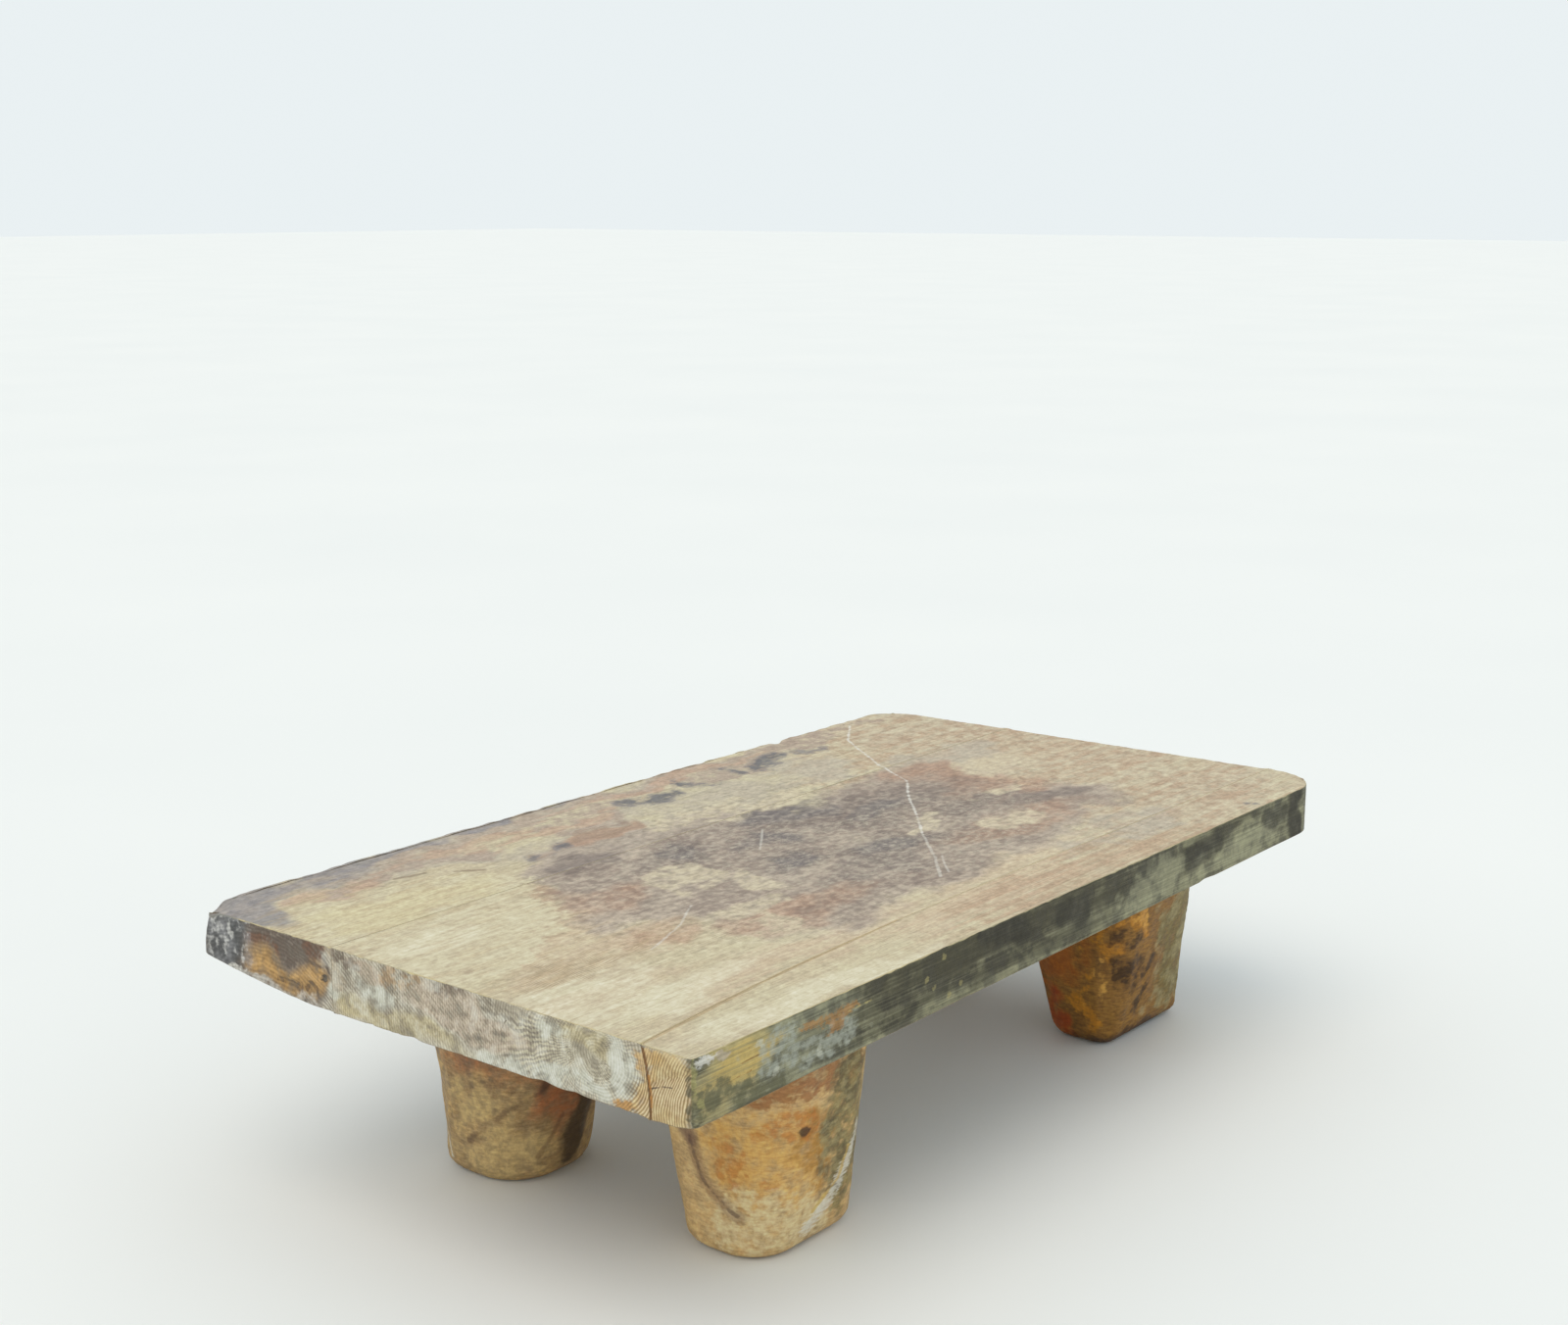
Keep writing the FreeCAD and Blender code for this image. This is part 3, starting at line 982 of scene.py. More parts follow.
# Upper face: scrubbed pale straw, with a big old water stain in the middle
TOP_COATS = coats(
    ("#d8cfb2", 0.3, (), FINE, 2.0),
    ("#b7a98b", 0.45, (), BROAD, 2.6, 0.45),
    ("#bfae93", 0.5, (), CLOUD, 2.6, 0.35),
    ("#c9b49a", 0.75, on_top((-300, -45, 62, 26), (-180, -138, 120, 18), (40, -138, 90, 20),
     (-40, -165, 100, 18), (-235, -15, 50, 42), (-300, -100, 50, 14)), BROAD, 2.0, 0.5, 0.62),
    ("#bcb09a", 0.8, on_top((300, 30, 110, 175), (250, -150, 130, 50)), CLOUD, 1.6, 0.45),
    ("#b59a80", 0.7, on_top((250, 0, 140, 200), (60, -180, 140, 26)), BROAD, 3.0, 0.4, 0.55),
    ("#ae957d", 0.55, on_top((250, 0, 140, 200), (60, -180, 140, 26)), MOTTLE, 3.4, 0.4, 0.4),
    ("#cdc3a6", 0.5, on_top((260, 0, 150, 200)), MOTTLE, -3.0, 0.4, 0.45),
    ("#b4ab9b", 0.7, on_top((140, -150, 80, 26), (-60, 124, 110, 22), (70, 108, 140, 26),
     (-190, 150, 60, 12), (20, 136, 160, 14), (230, 60, 60, 30)), CLOUD, 3.4, 0.4, 0.76),
    ("#a9988a", 0.85, on_top((-120, 184, 260, 13), (150, 178, 160, 14), (-225, 170, 80, 20, -12),
     (-60, 160, 60, 12), (100, 160, 90, 12), (-80, 140, 50, 8)), MOTTLE, 2.6, 0.35, 0.7),
    ("#b89b85", 0.7, on_top((-285, 158, 40, 12, 10), (-170, 168, 70, 10), (40, 178, 120, 8),
     (-90, 150, 60, 8)), STREAK, 2.4, 0.35, 0.7),
    # Grey weathering along the back-left rim, darkened with painted shade on the bevel
    ("#88868a", 0.85, on_top((-336, 184, 54, 30, 30), (-180, 197, 150, 9), (-290, 182, 70, 16, 10),
     (-348, 150, 16, 26)), CLOUD, 2.4, 0.4, 0.92),
    ("#a89c94", 0.45, on_top((-300, 180, 70, 26), (-100, 190, 260, 12)), MOTTLE, -3.2, 0.35, 0.4),
    # The stain: its whole reach, then its deeper parts
    ("#aea092", 0.9, on_top((-142, 62, 62, 50), (-156, -5, 92, 62, 12), (-45, 0, 120, 100),
     (90, 0, 145, 68), (170, 38, 66, 26), (155, -65, 92, 52), (-60, -92, 135, 46), (80, -96, 125, 38),
     (-70, 88, 90, 26)), CLOUD, 1.4, 0.28),
    ("#9b8c80", 0.85, on_top((-165, 30, 48, 50), (-60, 20, 100, 76), (60, 10, 125, 62),
     (90, -60, 125, 40), (-50, -85, 90, 40), (30, -95, 100, 28), (165, 35, 50, 20),
     (-130, -40, 60, 40)), CLOUD, 2.2, 0.45, 0.95),
    ("#ae8d76", 0.75, on_top((-195, 22, 40, 28), (185, 38, 46, 26), (-95, 118, 52, 11, 8),
     (-130, -90, 66, 22), (-205, 45, 25, 22), (120, -85, 66, 28), (-215, -60, 40, 24),
     (190, -20, 40, 40)), CLOUD, 2.4, 0.45, 0.8),
    ("#81756e", 0.85, on_top((32, 50, 54, 26), (-26, 12, 30, 24), (22, -50, 44, 30),
     (-62, -26, 22, 26), (-90, 45, 40, 20), (90, 5, 54, 16), (140, -40, 46, 14), (178, -68, 44, 16),
     (-20, -70, 50, 18), (-140, 80, 32, 15), (60, 20, 74, 34)), CLOUD, 2.8, 0.45, 0.9),
    ("#6e6a6c", 0.8, on_top((40, 54, 42, 18), (-24, 12, 20, 16), (26, -50, 30, 18), (-62, -26, 12, 18),
     (80, 14, 30, 12), (-92, 50, 20, 12)), CLOUD, 3.0, 0.45, 0.8),
    ("#7a6a62", 0.42, on_top((-85, -105, 60, 24), (60, -60, 60, 32), (160, -100, 60, 18),
     (-200, 0, 28, 38), (40, -120, 50, 16), (-180, 60, 30, 22), (120, -50, 66, 24), (-30, 20, 110, 60),
     (100, 10, 80, 40)), CLOUD, 3.6, 0.35, 0.48),
    # Cleaner places inside the stain
    ("#cbbfa4", 0.85, on_top((-140, 2, 20, 22), (-108, -25, 12, 28), (-155, -105, 10, 26),
     (118, -75, 26, 16), (-150, -60, 26, 14), (-10, 98, 66, 12), (75, -38, 16, 6), (240, 14, 36, 28),
     (30, 80, 56, 10), (180, -30, 24, 11), (-125, 20, 22, 11, 40)), MOTTLE, 2.4, 0.4, 0.7),
    ("#c3b69e", 0.15, on_top((110, -40, 130, 90), (-90, -90, 130, 40), (-150, 10, 70, 60)), MOTTLE,
     -3.6, 0.35, 0.38),
    ("#d3c7b0", 0.18, on_top((-60, -30, 190, 95)), GRIT, 3.6, 0.4, 0.3),
    ("#d8d0ba", 0.35, on_top((40, -50, 120, 60), (-60, 20, 80, 60)), SPECK, -4.0, 0.3, 0.26),
    ("#6b5f58", 0.18, on_top((-10, -10, 210, 110)), GRIT, -3.6, 0.4, 0.32),
    # Ragged clean edge at the near end
    ("#ccc3a6", 0.95, on_top((-285, 88, 98, 46), (-295, 36, 84, 40), (-315, -2, 72, 30)), GRIT, 1.2,
     0.16),
    ("#cdc29a", 0.6, on_top((-285, 104, 80, 30)), BROAD, 1.2, 0.35),
    ("#d8d2b8", 0.7, on_top((-315, -90, 54, 36), (-285, -187, 80, 14), (-200, -188, 80, 12),
     (-290, -128, 76, 16), (-310, 40, 40, 20)), BROAD, 1.8, 0.45, 0.85),
    ("#b5a081", 0.45, on_top((-300, 20, 80, 150)), STREAK, -3.6, 0.4, 0.36),
    ("#a89373", 0.6, on_top((-312, -52, 34, 5), (-300, -62, 50, 5), (-320, -40, 24, 5)), RINGS, 1.4,
     0.3),
    # Small dark spots
    ("#7d7877", 0.85, on_top((-138, 111, 15, 10), (-3, 154, 22, 14), (52, 160, 14, 18),
     (103, 160, 12, 10), (141, 154, 18, 15), (180, 157, 16, 10), (256, -186, 7, 10)), GRIT, 3.0, 0.48,
     0.8),
    ("#5f6064", 0.7, on_top((-138, 111, 9, 6), (-3, 155, 14, 8), (52, 161, 9, 10), (141, 155, 12, 9),
     (103, 161, 7, 6)), GRIT, 2.4, 0.48, 0.8),
    ("#725d4c", 0.55, top_path(4.5, (-210, 131), (-197, 121)) + top_path(4, (-246, 150), (-226, 144)),
     SPECK, 1.6, 0.25),
    ("#8f7a68", 0.55, on_top((-75, 133, 18, 6, 10), (-348, 0, 5, 8), (-90, 118, 40, 6, 8)), GRIT, 3.2,
     0.45, 0.8),
    ("#8f7f6b", 0.25, top_path(1.5, (-360, 76.5), (-190, 76)), BROAD, 1.5, 0.5),
    ("#a2865c", 0.55, top_path(2.6, (-360, -165.5), (-262, -156.5), (-205, -152.5), (-115, -149.5)),
     BROAD, 1.6),
    ("#a58e6b", 0.15, top_path(2, (-115, -149.5), (0, -150), (115, -151), (240, -153)), BROAD, 2.0),
    # Long pale scratches
    ("#dcdad2", 0.72, top_path(2, (274, 180), (232, 150), (184, 84), (159, 40), (120, 10), (84, -23),
     (48, -53)), GRIT, 1.8, 0.45),
    ("#d3cfc6", 0.5, top_path(1.7, (-169, -33), (-200, -52), (-246, -70)) + top_path(1.7, (-10, 40),
     (-50, 10)) + top_path(1.6, (15, -92), (-12, -116)) + top_path(2.2, (48, -53), (8, -92),
     (-24, -118)), SPECK, 1.2, 0.35),
)

# Left end: the back board brown and weathered, the middle board grey end grain, the strip warm
END_COATS = coats(
    ("#cdc6b2", 0.5, (), RINGS, 1.2, 0.5),
    ("#8a7f6f", 0.5, (), MOTTLE, 3.0, 0.4, 0.45),
    ("#c6bca6", 0.4, (), CLOUD, 3.0, 0.5, 0.5),
    ("#867b6c", 0.55, on_end((20, 162, 70, 15), (-40, 168, 66, 9)), HATCH, 1.1, 0.5, 0.6),
    ("#d0cab8", 0.5, on_end((30, 152, 90, 24), (-60, 150, 80, 20)), HATCH, -1.2, 0.45, 0.55),
    ("#7b7266", 0.5, on_end((-118, 156, 74, 24)), RAYS, 1.4, 0.4, 0.5),
    ("#d8cfae", 0.5, on_end((-120, 158, 46, 18)), RAYS, -1.8, 0.35, 0.5),
    ("#b9a97b", 0.7, on_end((36, 144, 22, 9), (0, 142, 34, 7), (60, 143, 16, 8), (-120, 166, 26, 7)),
     MOTTLE, 2.0, 0.45, 0.85),
    ("#b79c82", 0.65, on_end((-20, 160, 34, 11), (-62, 158, 28, 9), (45, 168, 20, 6)), MOTTLE, 2.6,
     0.35, 0.6),
    # Back board
    ("#7b7066", 1.0, on_end((142, 156, 66, 44)), GRIT, 0.5, 0.1),
    ("#9f9383", 0.5, on_end((140, 156, 66, 30)), MOTTLE, 3.4, 0.4, 0.5),
    ("#62554b", 0.92, on_end((122, 170, 54, 9), (95, 168, 22, 9)), GRIT, 3.2, 0.4, 0.85),
    ("#6f4e3a", 0.7, on_end((92, 167, 16, 8), (150, 163, 20, 5)), GRIT, 2.8, 0.4, 0.75),
    ("#a68659", 0.95, on_end((130, 152, 42, 9), (104, 150, 24, 10)), MOTTLE, 1.2, 0.48, 0.9),
    ("#bf965a", 0.6, on_end((108, 152, 24, 7), (140, 150, 20, 6)), MOTTLE, 1.8, 0.48, 0.75),
    ("#7a5c40", 0.3, on_end((125, 152, 44, 10)), GRIT, -3.2, 0.45, 0.42),
    ("#5d5e5e", 0.95, on_end((186, 158, 25, 30)), MOTTLE, 1.2),
    ("#98979a", 0.42, on_end((182, 156, 26, 30), (172, 142, 16, 7)), MOTTLE, 3.6, 0.4, 0.42),
    ("#434142", 0.55, on_end((188, 160, 24, 30)), MOTTLE, -3.6, 0.45, 0.42),
    ("#dedcd7", 0.45, on_end((180, 158, 20, 26)), GRIT, 3.8, 0.3, 0.2),
    ("#c9c4ba", 0.6, on_end((150, 140, 62, 5), (170, 143, 14, 5)), GRIT, 2.8, 0.35, 0.7),
    ("#42302a", 0.65, end_path(4.6, (125, 145.5), (114, 144.5), (106, 144)) + end_path(3, (101, 145),
     (97, 149), (92, 147), (91.5, 144)) + end_path(3, (84, 167), (79.5, 160)), SPECK, 2.6, 0.35),
    ("#2b211d", 0.9, on_end((84.6, 155, 3, 2.8)), SPECK, 1.4, 0.3),
    ("#56463b", 0.7, end_path(2.6, (101, 163), (88, 161), (79, 163)), SPECK, 2.4, 0.35),
    # Middle board
    ("#b3a48c", 0.8, on_end((75, 155, 7, 26)), GRIT, 2.2, 0.35, 0.8),
    ("#665648", 0.75, on_end((62, 167, 10, 6), (-16, 168, 10, 5.5)), GRIT, 3.4, 0.35, 0.65),
    ("#ac8554", 0.65, on_end((27, 166, 11, 6), (8, 168, 9, 5.5)), GRIT, 3.2, 0.35, 0.62),
    ("#c8c8ba", 0.85, on_end((-46, 141, 12, 8), (-95, 141, 18, 7), (-102, 168, 10, 6),
     (-152, 160, 13, 15), (-130, 142, 22, 6), (40, 156, 18, 6), (-70, 143, 14, 6), (75, 145, 10, 6)),
     MOTTLE, 2.2, 0.48, 0.85),
    ("#d9d8cc", 0.5, on_end((-60, 156, 130, 22)), MOTTLE, 3.4, 0.45, 0.34),
    ("#6f6557", 0.5, on_end((-20, 160, 150, 20)), MOTTLE, -3.8, 0.35, 0.32),
    ("#b8894c", 0.9, on_end((-153, 138.5, 9, 3.2)), SPECK, 1.6, 0.25),
    ("#5a4d41", 0.75, end_path(1.2, (4, 168), (-4, 161), (-14, 154)) + end_path(1.1, (-66, 165),
     (-60, 156), (-54, 147)) + end_path(1, (-74, 153), (-61, 144)) + end_path(1, (52, 172), (42, 164))
     + end_path(1.1, (-146, 136.5), (-154, 141), (-162, 137)), SPECK, 1.4, 0.3),
    # Strip
    ("#c6ad7f", 1.0, on_end((-187, 155, 14.5, 40)), GRIT, 0.6, 0.1),
    ("#c3995a", 0.75, on_end((-176, 169, 14, 6), (-173, 150, 5, 13)), GRIT, 2.6, 0.4, 0.8),
    ("#d4c19a", 0.45, on_end((-186, 154, 18, 30)), GRIT, 3.2, 0.4, 0.45),
    ("#d3bd9c", 0.7, on_end((-188, 146, 13, 10)), RINGS, 1.4, 0.45, 0.7),
    ("#8f7449", 0.6, on_end((-184, 150, 17, 20)), RINGS, -1.8, 0.35, 0.45),
    ("#4f4237", 0.85, end_path(1.2, (-174, 157), (-186, 161), (-198, 167)) + end_path(1.1, (-171, 153),
     (-179, 156), (-186, 157)), SPECK, 1.0, 0.3),
    ("#70491f", 0.9, end_path(1.9, (-165.5, 176), (-168.5, 166), (-170.5, 156), (-171.5, 147),
     (-171.8, 134)), SPECK, 1.6, 0.35),
    ("#bb8440", 0.6, end_path(1.3, (-170.6, 160), (-172, 150), (-172.4, 143)), SPECK, 1.8, 0.3),
    ("#55513f", 0.85, end_path(4.5, (-197.5, 178), (-198, 132)), GRIT, 2.4, 0.35),
    ("#8f8b7e", 0.7, end_path(3.4, (-165, 176), (-200, 176)), SPECK, 2.8, 0.3),
    ("#aca48f", 0.5, end_path(1.8, (-160, 176), (200, 176)), SPECK, 3.0, 0.3),
)

# Front side: what is left of the outer wood, ochre near the corner and charcoal further on
SIDE_COATS = coats(
    ("#8a8a73", 0.5, (), STREAK, 3.0, 0.45, 0.5),
    ("#4a4634", 0.55, (), STREAK, -3.2, 0.5, 0.48),
    ("#423c28", 0.92, on_front((-120, 158, 110, 36), (0, 162, 120, 30)), STREAK, 1.8, 0.45, 0.85),
    ("#949173", 0.88, on_front((125, 148, 130, 16), (-120, 140, 90, 6), (240, 152, 110, 20),
     (200, 156, 80, 20)), STREAK, 2.0, 0.48, 0.88),
    ("#908f76", 0.9, on_front((-262, 156, 52, 40)), STREAK, 2.0, 0.4, 0.85),
    ("#a3a187", 0.28, (), FINE, 3.0, 0.45, 0.4),
    ("#3a3728", 0.32, (), FINE, -3.2, 0.45, 0.42),
    ("#9a9778", 0.45, on_front((0, 155, 370, 40)), MOTTLE, 3.6, 0.4, 0.4),
    ("#363326", 0.5, on_front((20, 157, 340, 40)), MOTTLE, -3.6, 0.42, 0.42),
    ("#393628", 0.6, on_front((-60, 160, 190, 30)), BROAD, -3.0, 0.4, 0.5),
    ("#b4a470", 0.92, on_front((-334, 160, 34, 34)), STREAK, 1.8, 0.4, 0.85),
    ("#c0a560", 0.8, on_front((-322, 164, 28, 11), (-330, 152, 24, 7)), FINE, 2.6, 0.35, 0.7),
    ("#83602f", 0.75, front_path(1.3, (-340, 161), (-306, 161.5)) + front_path(1.2, (-338, 154),
     (-312, 155)) + front_path(1.1, (-330, 168), (-312, 168)), SPECK, 1.8, 0.3),
    ("#5f5d43", 0.85, on_front((-342, 143, 22, 10), (-304, 141, 28, 8)), GRIT, 3.0, 0.35, 0.75),
    ("#9c9f92", 0.75, on_front((-296, 168, 22, 8), (-284, 158, 24, 10), (-240, 150, 30, 9)), GRIT, 3.0,
     0.35, 0.6),
    ("#44402f", 0.85, on_front((-40, 165, 150, 13), (150, 170, 120, 7), (-170, 171, 50, 7),
     (306, 156, 14, 40)), STREAK, 2.4, 0.45, 0.85),
    ("#343127", 0.8, on_front((-55, 164, 22, 12), (92, 167, 26, 10), (166, 165, 26, 10),
     (274, 163, 20, 12), (310, 154, 10, 30), (20, 160, 26, 13)), MOTTLE, 2.6, 0.42, 0.78),
    ("#9c9a7d", 0.65, on_front((104, 153, 42, 21), (232, 148, 60, 10)), MOTTLE, 2.4, 0.45, 0.8),
    ("#55513f", 0.8, front_path(4, (-359, 178), (-359, 132)), GRIT, 2.6, 0.35),
    ("#d6d3cb", 0.8, on_front((-349, 171.5, 8.5, 3.4)), SPECK, 3.0, 0.35),
    ("#bbaea6", 0.5, on_front((-336, 171, 6, 3.4)), SPECK, 3.0, 0.35),
    ("#aca568", 0.5, on_front((-357.5, 164, 2.5, 10), (-352, 150, 3, 3)), SPECK, 3.4, 0.3),
    ("#c6c6b4", 0.45, on_front((-292, 149, 3.2, 2.8), (-254, 151, 2.2, 2.2), (-254, 146, 2.2, 2.2),
     (-305, 168, 4.4, 2.8)), SPECK, 2.0, 0.3),
    ("#a0743f", 0.75, on_front((-238, 164, 18, 3.8), (-262, 165, 8, 3), (-240, 157, 8, 3.4)), SPECK,
     3.6, 0.35),
    ("#b9ab70", 0.6, front_path(1.2, (-264, 164), (-228, 163), (-188, 165)), SPECK, 2.4, 0.3),
    ("#a89d68", 0.45, on_front((-136, 169, 2.6, 2.2), (-154, 160, 2.6, 2.2), (-146, 153, 2.6, 2.2),
     (-132, 145, 2.2, 2), (-119, 150, 2.2, 2)), SPECK, 2.2, 0.3),
    ("#bba77c", 0.75, front_path(1.8, (-358, 136), (-318, 136), (-300, 137)), SPECK, 2.0, 0.3),
    ("#c2ab5f", 0.85, front_path(1.8, (-275, 176), (-262, 176)) + front_path(2, (-215, 176),
     (-180, 176)), SPECK, 1.6, 0.3),
)

# Rim of the upper face: a pale painted highlight along the rounded edge, and along the back, where it
# has rotted, grey wood darkened with painted shade on the bevel
RIM_HIGHLIGHT_AND_SHADE_COATS = coats(
    ("#a39270", 0.6, (), GRIT, 3.2, 0.4, 0.5),
    # Grey rotted wood along the back rim, darkened with painted shade on the bevel
    ("#7f807d", 0.95, patches((-330, 194, 168, 80, 22, 40)), MOTTLE, 1.6),
    ("#77756f", 0.85, patches((-60, 200, 170, 380, 16, 40)), STREAK, 2.4, 0.4, 0.8),
    ("#a19b87", 0.8, patches((-360, -20, 176, 16, 170, 30)), GRIT, 2.6, 0.4, 0.7),
    ("#8d8a70", 0.8, patches((120, -200, 176, 260, 14, 30)), STREAK, 3.0, 0.4, 0.6),
)

UNDER_COATS = coats(
    ("#a08d6f", 0.6, (), BROAD, 2.4),
    ("#6f5c45", 0.6, (), MOTTLE, 2.6, 0.35),
    ("#b7aa92", 0.4, (), FINE, 3.0, 0.3),
)


@dataclass(frozen=True)
class WornPlank:
    """Old plank wood, hand planed, scrubbed and water-stained.

    The eye gets pale matt straw with fine lines along the plank, and end grain that has gone
    grey and brown.

    Args:
        name: Name of the material.
        grain: How the plank grew.
        ends: Ground colour of the ends.
    """

    name: str
    grain: Grain
    ends: str

    def skin(self, low: Array, high: Array) -> Skin:
        """The finish laid out for one board.

        Args:
            low: Lowest corner of the board.
            high: Its highest corner.

        Returns:
            The skin, with its material.
        """
        skin = Skin(self.name, self.grain, low, high)
        fibres = {FINE: 0.11, GRIT: 0.06, SPECK: 0.05}
        scrubbed = {FINE: 0.075, GRIT: 0.07, SPECK: 0.08}
        sawn = {RINGS: 0.05, GRIT: 0.07, SPECK: 0.09}
        up, down, along = (0.0, 0.0, 1.0), (0.0, 0.0, -1.0), (1.0, 0.0, 0.0)
        colour = skin.tint(skin.lay("#6d6a51", SIDE_COATS), fibres)
        # The third layer is a thin pale painted highlight along the rounded upper edge, with painted
        # shade along the back
        faces = []
        for way, start, full, ground, coats, depths in (
            (along, 0.62, 0.8, self.ends, END_COATS, sawn),
            (down, 0.3, 0.6, "#8a7557", UNDER_COATS, fibres),
            (up, 0.35, 0.6, "#c9bc90", RIM_HIGHLIGHT_AND_SHADE_COATS, {}),
            (up, 0.72, 0.92, "#c6bd9f", TOP_COATS, scrubbed),
        ):
            new_colour = skin.tint(skin.lay(ground, coats), depths)
            faces.append(skin.facing(way, start, full))
            colour = mixed(skin.tree, faces[-1], colour, new_colour)
        height = skin.relief({FINE: 0.75, SPECK: 0.15, MOTTLE: 1.3})
        ends = skin.relief({RINGS: 0.1, SPECK: 0.2, MOTTLE: 0.7})
        smooth = skin.relief({FINE: 0.16, BROAD: 0.3})
        for face, new_height in ((faces[0], ends), (faces[2], smooth)):
            height = add_node(
                skin.tree, "ShaderNodeMix", {0: face, 2: height, 3: new_height}).outputs[0]
        return skin.finish(colour, height, (0.58, 0.78))


@dataclass(frozen=True)
class HewnBillet:
    """A stub of trunk hewn with an adze and left outdoors to darken.

    The eye gets orange-brown wood with short dark flecks, gone grey-green where it was damp.

    Args:
        name: Name of the material.
        grain: How the billet grew.
        ground: Ground colour.
        coats: What lies over it.
    """

    name: str
    grain: Grain
    ground: str
    coats: tuple[Coat, ...]

    def skin(self, low: Array, high: Array) -> Skin:
        """The finish laid out for one leg.

        Args:
            low: Lowest corner of the leg.
            high: Its highest corner.

        Returns:
            The skin, with its material.
        """
        skin = Skin(self.name, self.grain, low, high)
        height = skin.relief({FINE: 0.35, SPECK: 0.15, MOTTLE: 1.0})
        colour = skin.lay(self.ground, self.coats)
        colour = skin.tint(colour, {FINE: 0.07, GRIT: 0.06, SPECK: 0.08})
        return skin.finish(colour, height, (0.5, 0.75))


# Sub-assemblies

@dataclass(frozen=True)
class TopPlan:
    """Outline of the top in plan, the joints of its boards and its uneven underside.

    Args:
        low: Lowest corner of the whole part.
        high: Its highest corner.
        thickness: Thickness of the boards.
        corner_radii: Radii of the corners, anticlockwise from the front left.
        end_slant: How far the right end runs off square.
        back_taper: How far the back edge comes in towards the right.
        back_board: Width of the back board at its left and right end.
        strip_width: Full width of the front strip.
        strip_lean: How far its joint leans to the front on the way down.
        strip_x_shares: Places along the strip.
        strip_width_shares: Its width there.
        wane_width: How far the waney back edge reaches in under the top.
        wane_rise: How far it rises at the left and right end.
        hewn_width: How far the hewn front edge reaches in under the top.
        hewn_rise: How far it rises at the left and right end.
        rise_bend: How round the rise is.
    """

    low: Vec3
    high: Vec3
    thickness: float = 41.0
    corner_radii: tuple[float, float, float, float] = (3.0, 38.0, 36.0, 6.0)
    end_slant: float = 18.0
    back_taper: float = 7.5
    back_board: Vec2 = (123.0, 127.0)
    strip_width: float = 50.0
    strip_lean: float = 6.0
    strip_x_shares: tuple[float, ...] = (0.0, 0.14, 0.34, 0.66, 1.0)
    strip_width_shares: tuple[float, ...] = (0.70, 0.89, 1.0, 0.98, 0.90)
    wane_width: float = 104.0
    wane_rise: Vec2 = (11.0, 7.0)
    hewn_width: float = 30.0
    hewn_rise: Vec2 = (1.0, 5.0)
    rise_bend: float = 0.52

    @property
    def underside(self) -> float:
        """Height of the flat part of the underside."""
        return self.high[2] - self.thickness

    def along(self, x: Array) -> Array:
        """Share of the table's length at each x."""
        return (x - self.low[0]) / (self.high[0] - self.low[0])

    def back_joint(self, x: Array) -> Array:
        """Where the back board's joint lies at each x."""
        left, right = self.back_board
        return self.high[1] - left + (left - right) * self.along(x)

    def strip_joint(self, x: Array) -> Array:
        """Where the strip's joint lies on the upper face, as a smooth curve.

        Args:
            x: Places along the table.

        Returns:
            How far back the joint is at each place.
        """
        places = np.array(self.strip_x_shares)
        widths = np.array(self.strip_width_shares)
        slopes = np.gradient(widths, places)
        share = np.clip(self.along(x), 0, 1)
        part = np.clip(np.searchsorted(places, share, side="right") - 1, 0, len(places) - 2)
        span = places[part + 1] - places[part]
        t = (share - places[part]) / span
        wide = (
            (2 * t ** 3 - 3 * t ** 2 + 1) * widths[part]
            + (t ** 3 - 2 * t ** 2 + t) * span * slopes[part]
            + (3 * t ** 2 - 2 * t ** 3) * widths[part + 1]
            + (t ** 3 - t ** 2) * span * slopes[part + 1]
        )
        return self.low[1] + self.strip_width * wide

    def lean(self, z: Array) -> Array:
        """How far the strip's joint has leaned to the front at each height."""
        share = np.clip((z - self.underside) / self.thickness, 0, 1)
        return self.strip_lean * (1 - share ** 2)

    def bottom(self, x: Array, y: Array) -> Array:
        """Height of the underside.

        Args:
            x: Places along the table.
            y: Places across it.

        Returns:
            The height at each place.
        """
        share = self.along(x)
        rise = np.zeros_like(x)
        for depth, (left, right) in (
            ((y - self.high[1] + self.wane_width) / self.wane_width, self.wane_rise),
            ((self.low[1] + self.hewn_width - y) / self.hewn_width, self.hewn_rise),
        ):
            t = np.clip(depth, 0, 1.1)
            rise = rise + (left + (right - left) * share) * (
                self.rise_bend * t + (1 - self.rise_bend) * t * t)
        return self.underside + rise

    def corners(self) -> list[tuple[Array, float]]:
        """The circles that round the corners of the top.

        Returns:
            Middle and radius of each, anticlockwise from the front left.
        """
        radii = self.corner_radii
        left, front = self.low[:2]
        right, back = self.high[:2]
        return [
            (np.array((left + radii[0], front + radii[0])), radii[0]),
            (np.array((right - radii[1], front + radii[1])), radii[1]),
            (np.array((right - self.end_slant - radii[2], back - self.back_taper - radii[2])),
             radii[2]),
            (np.array((left + radii[3], back - radii[3])), radii[3]),
        ]


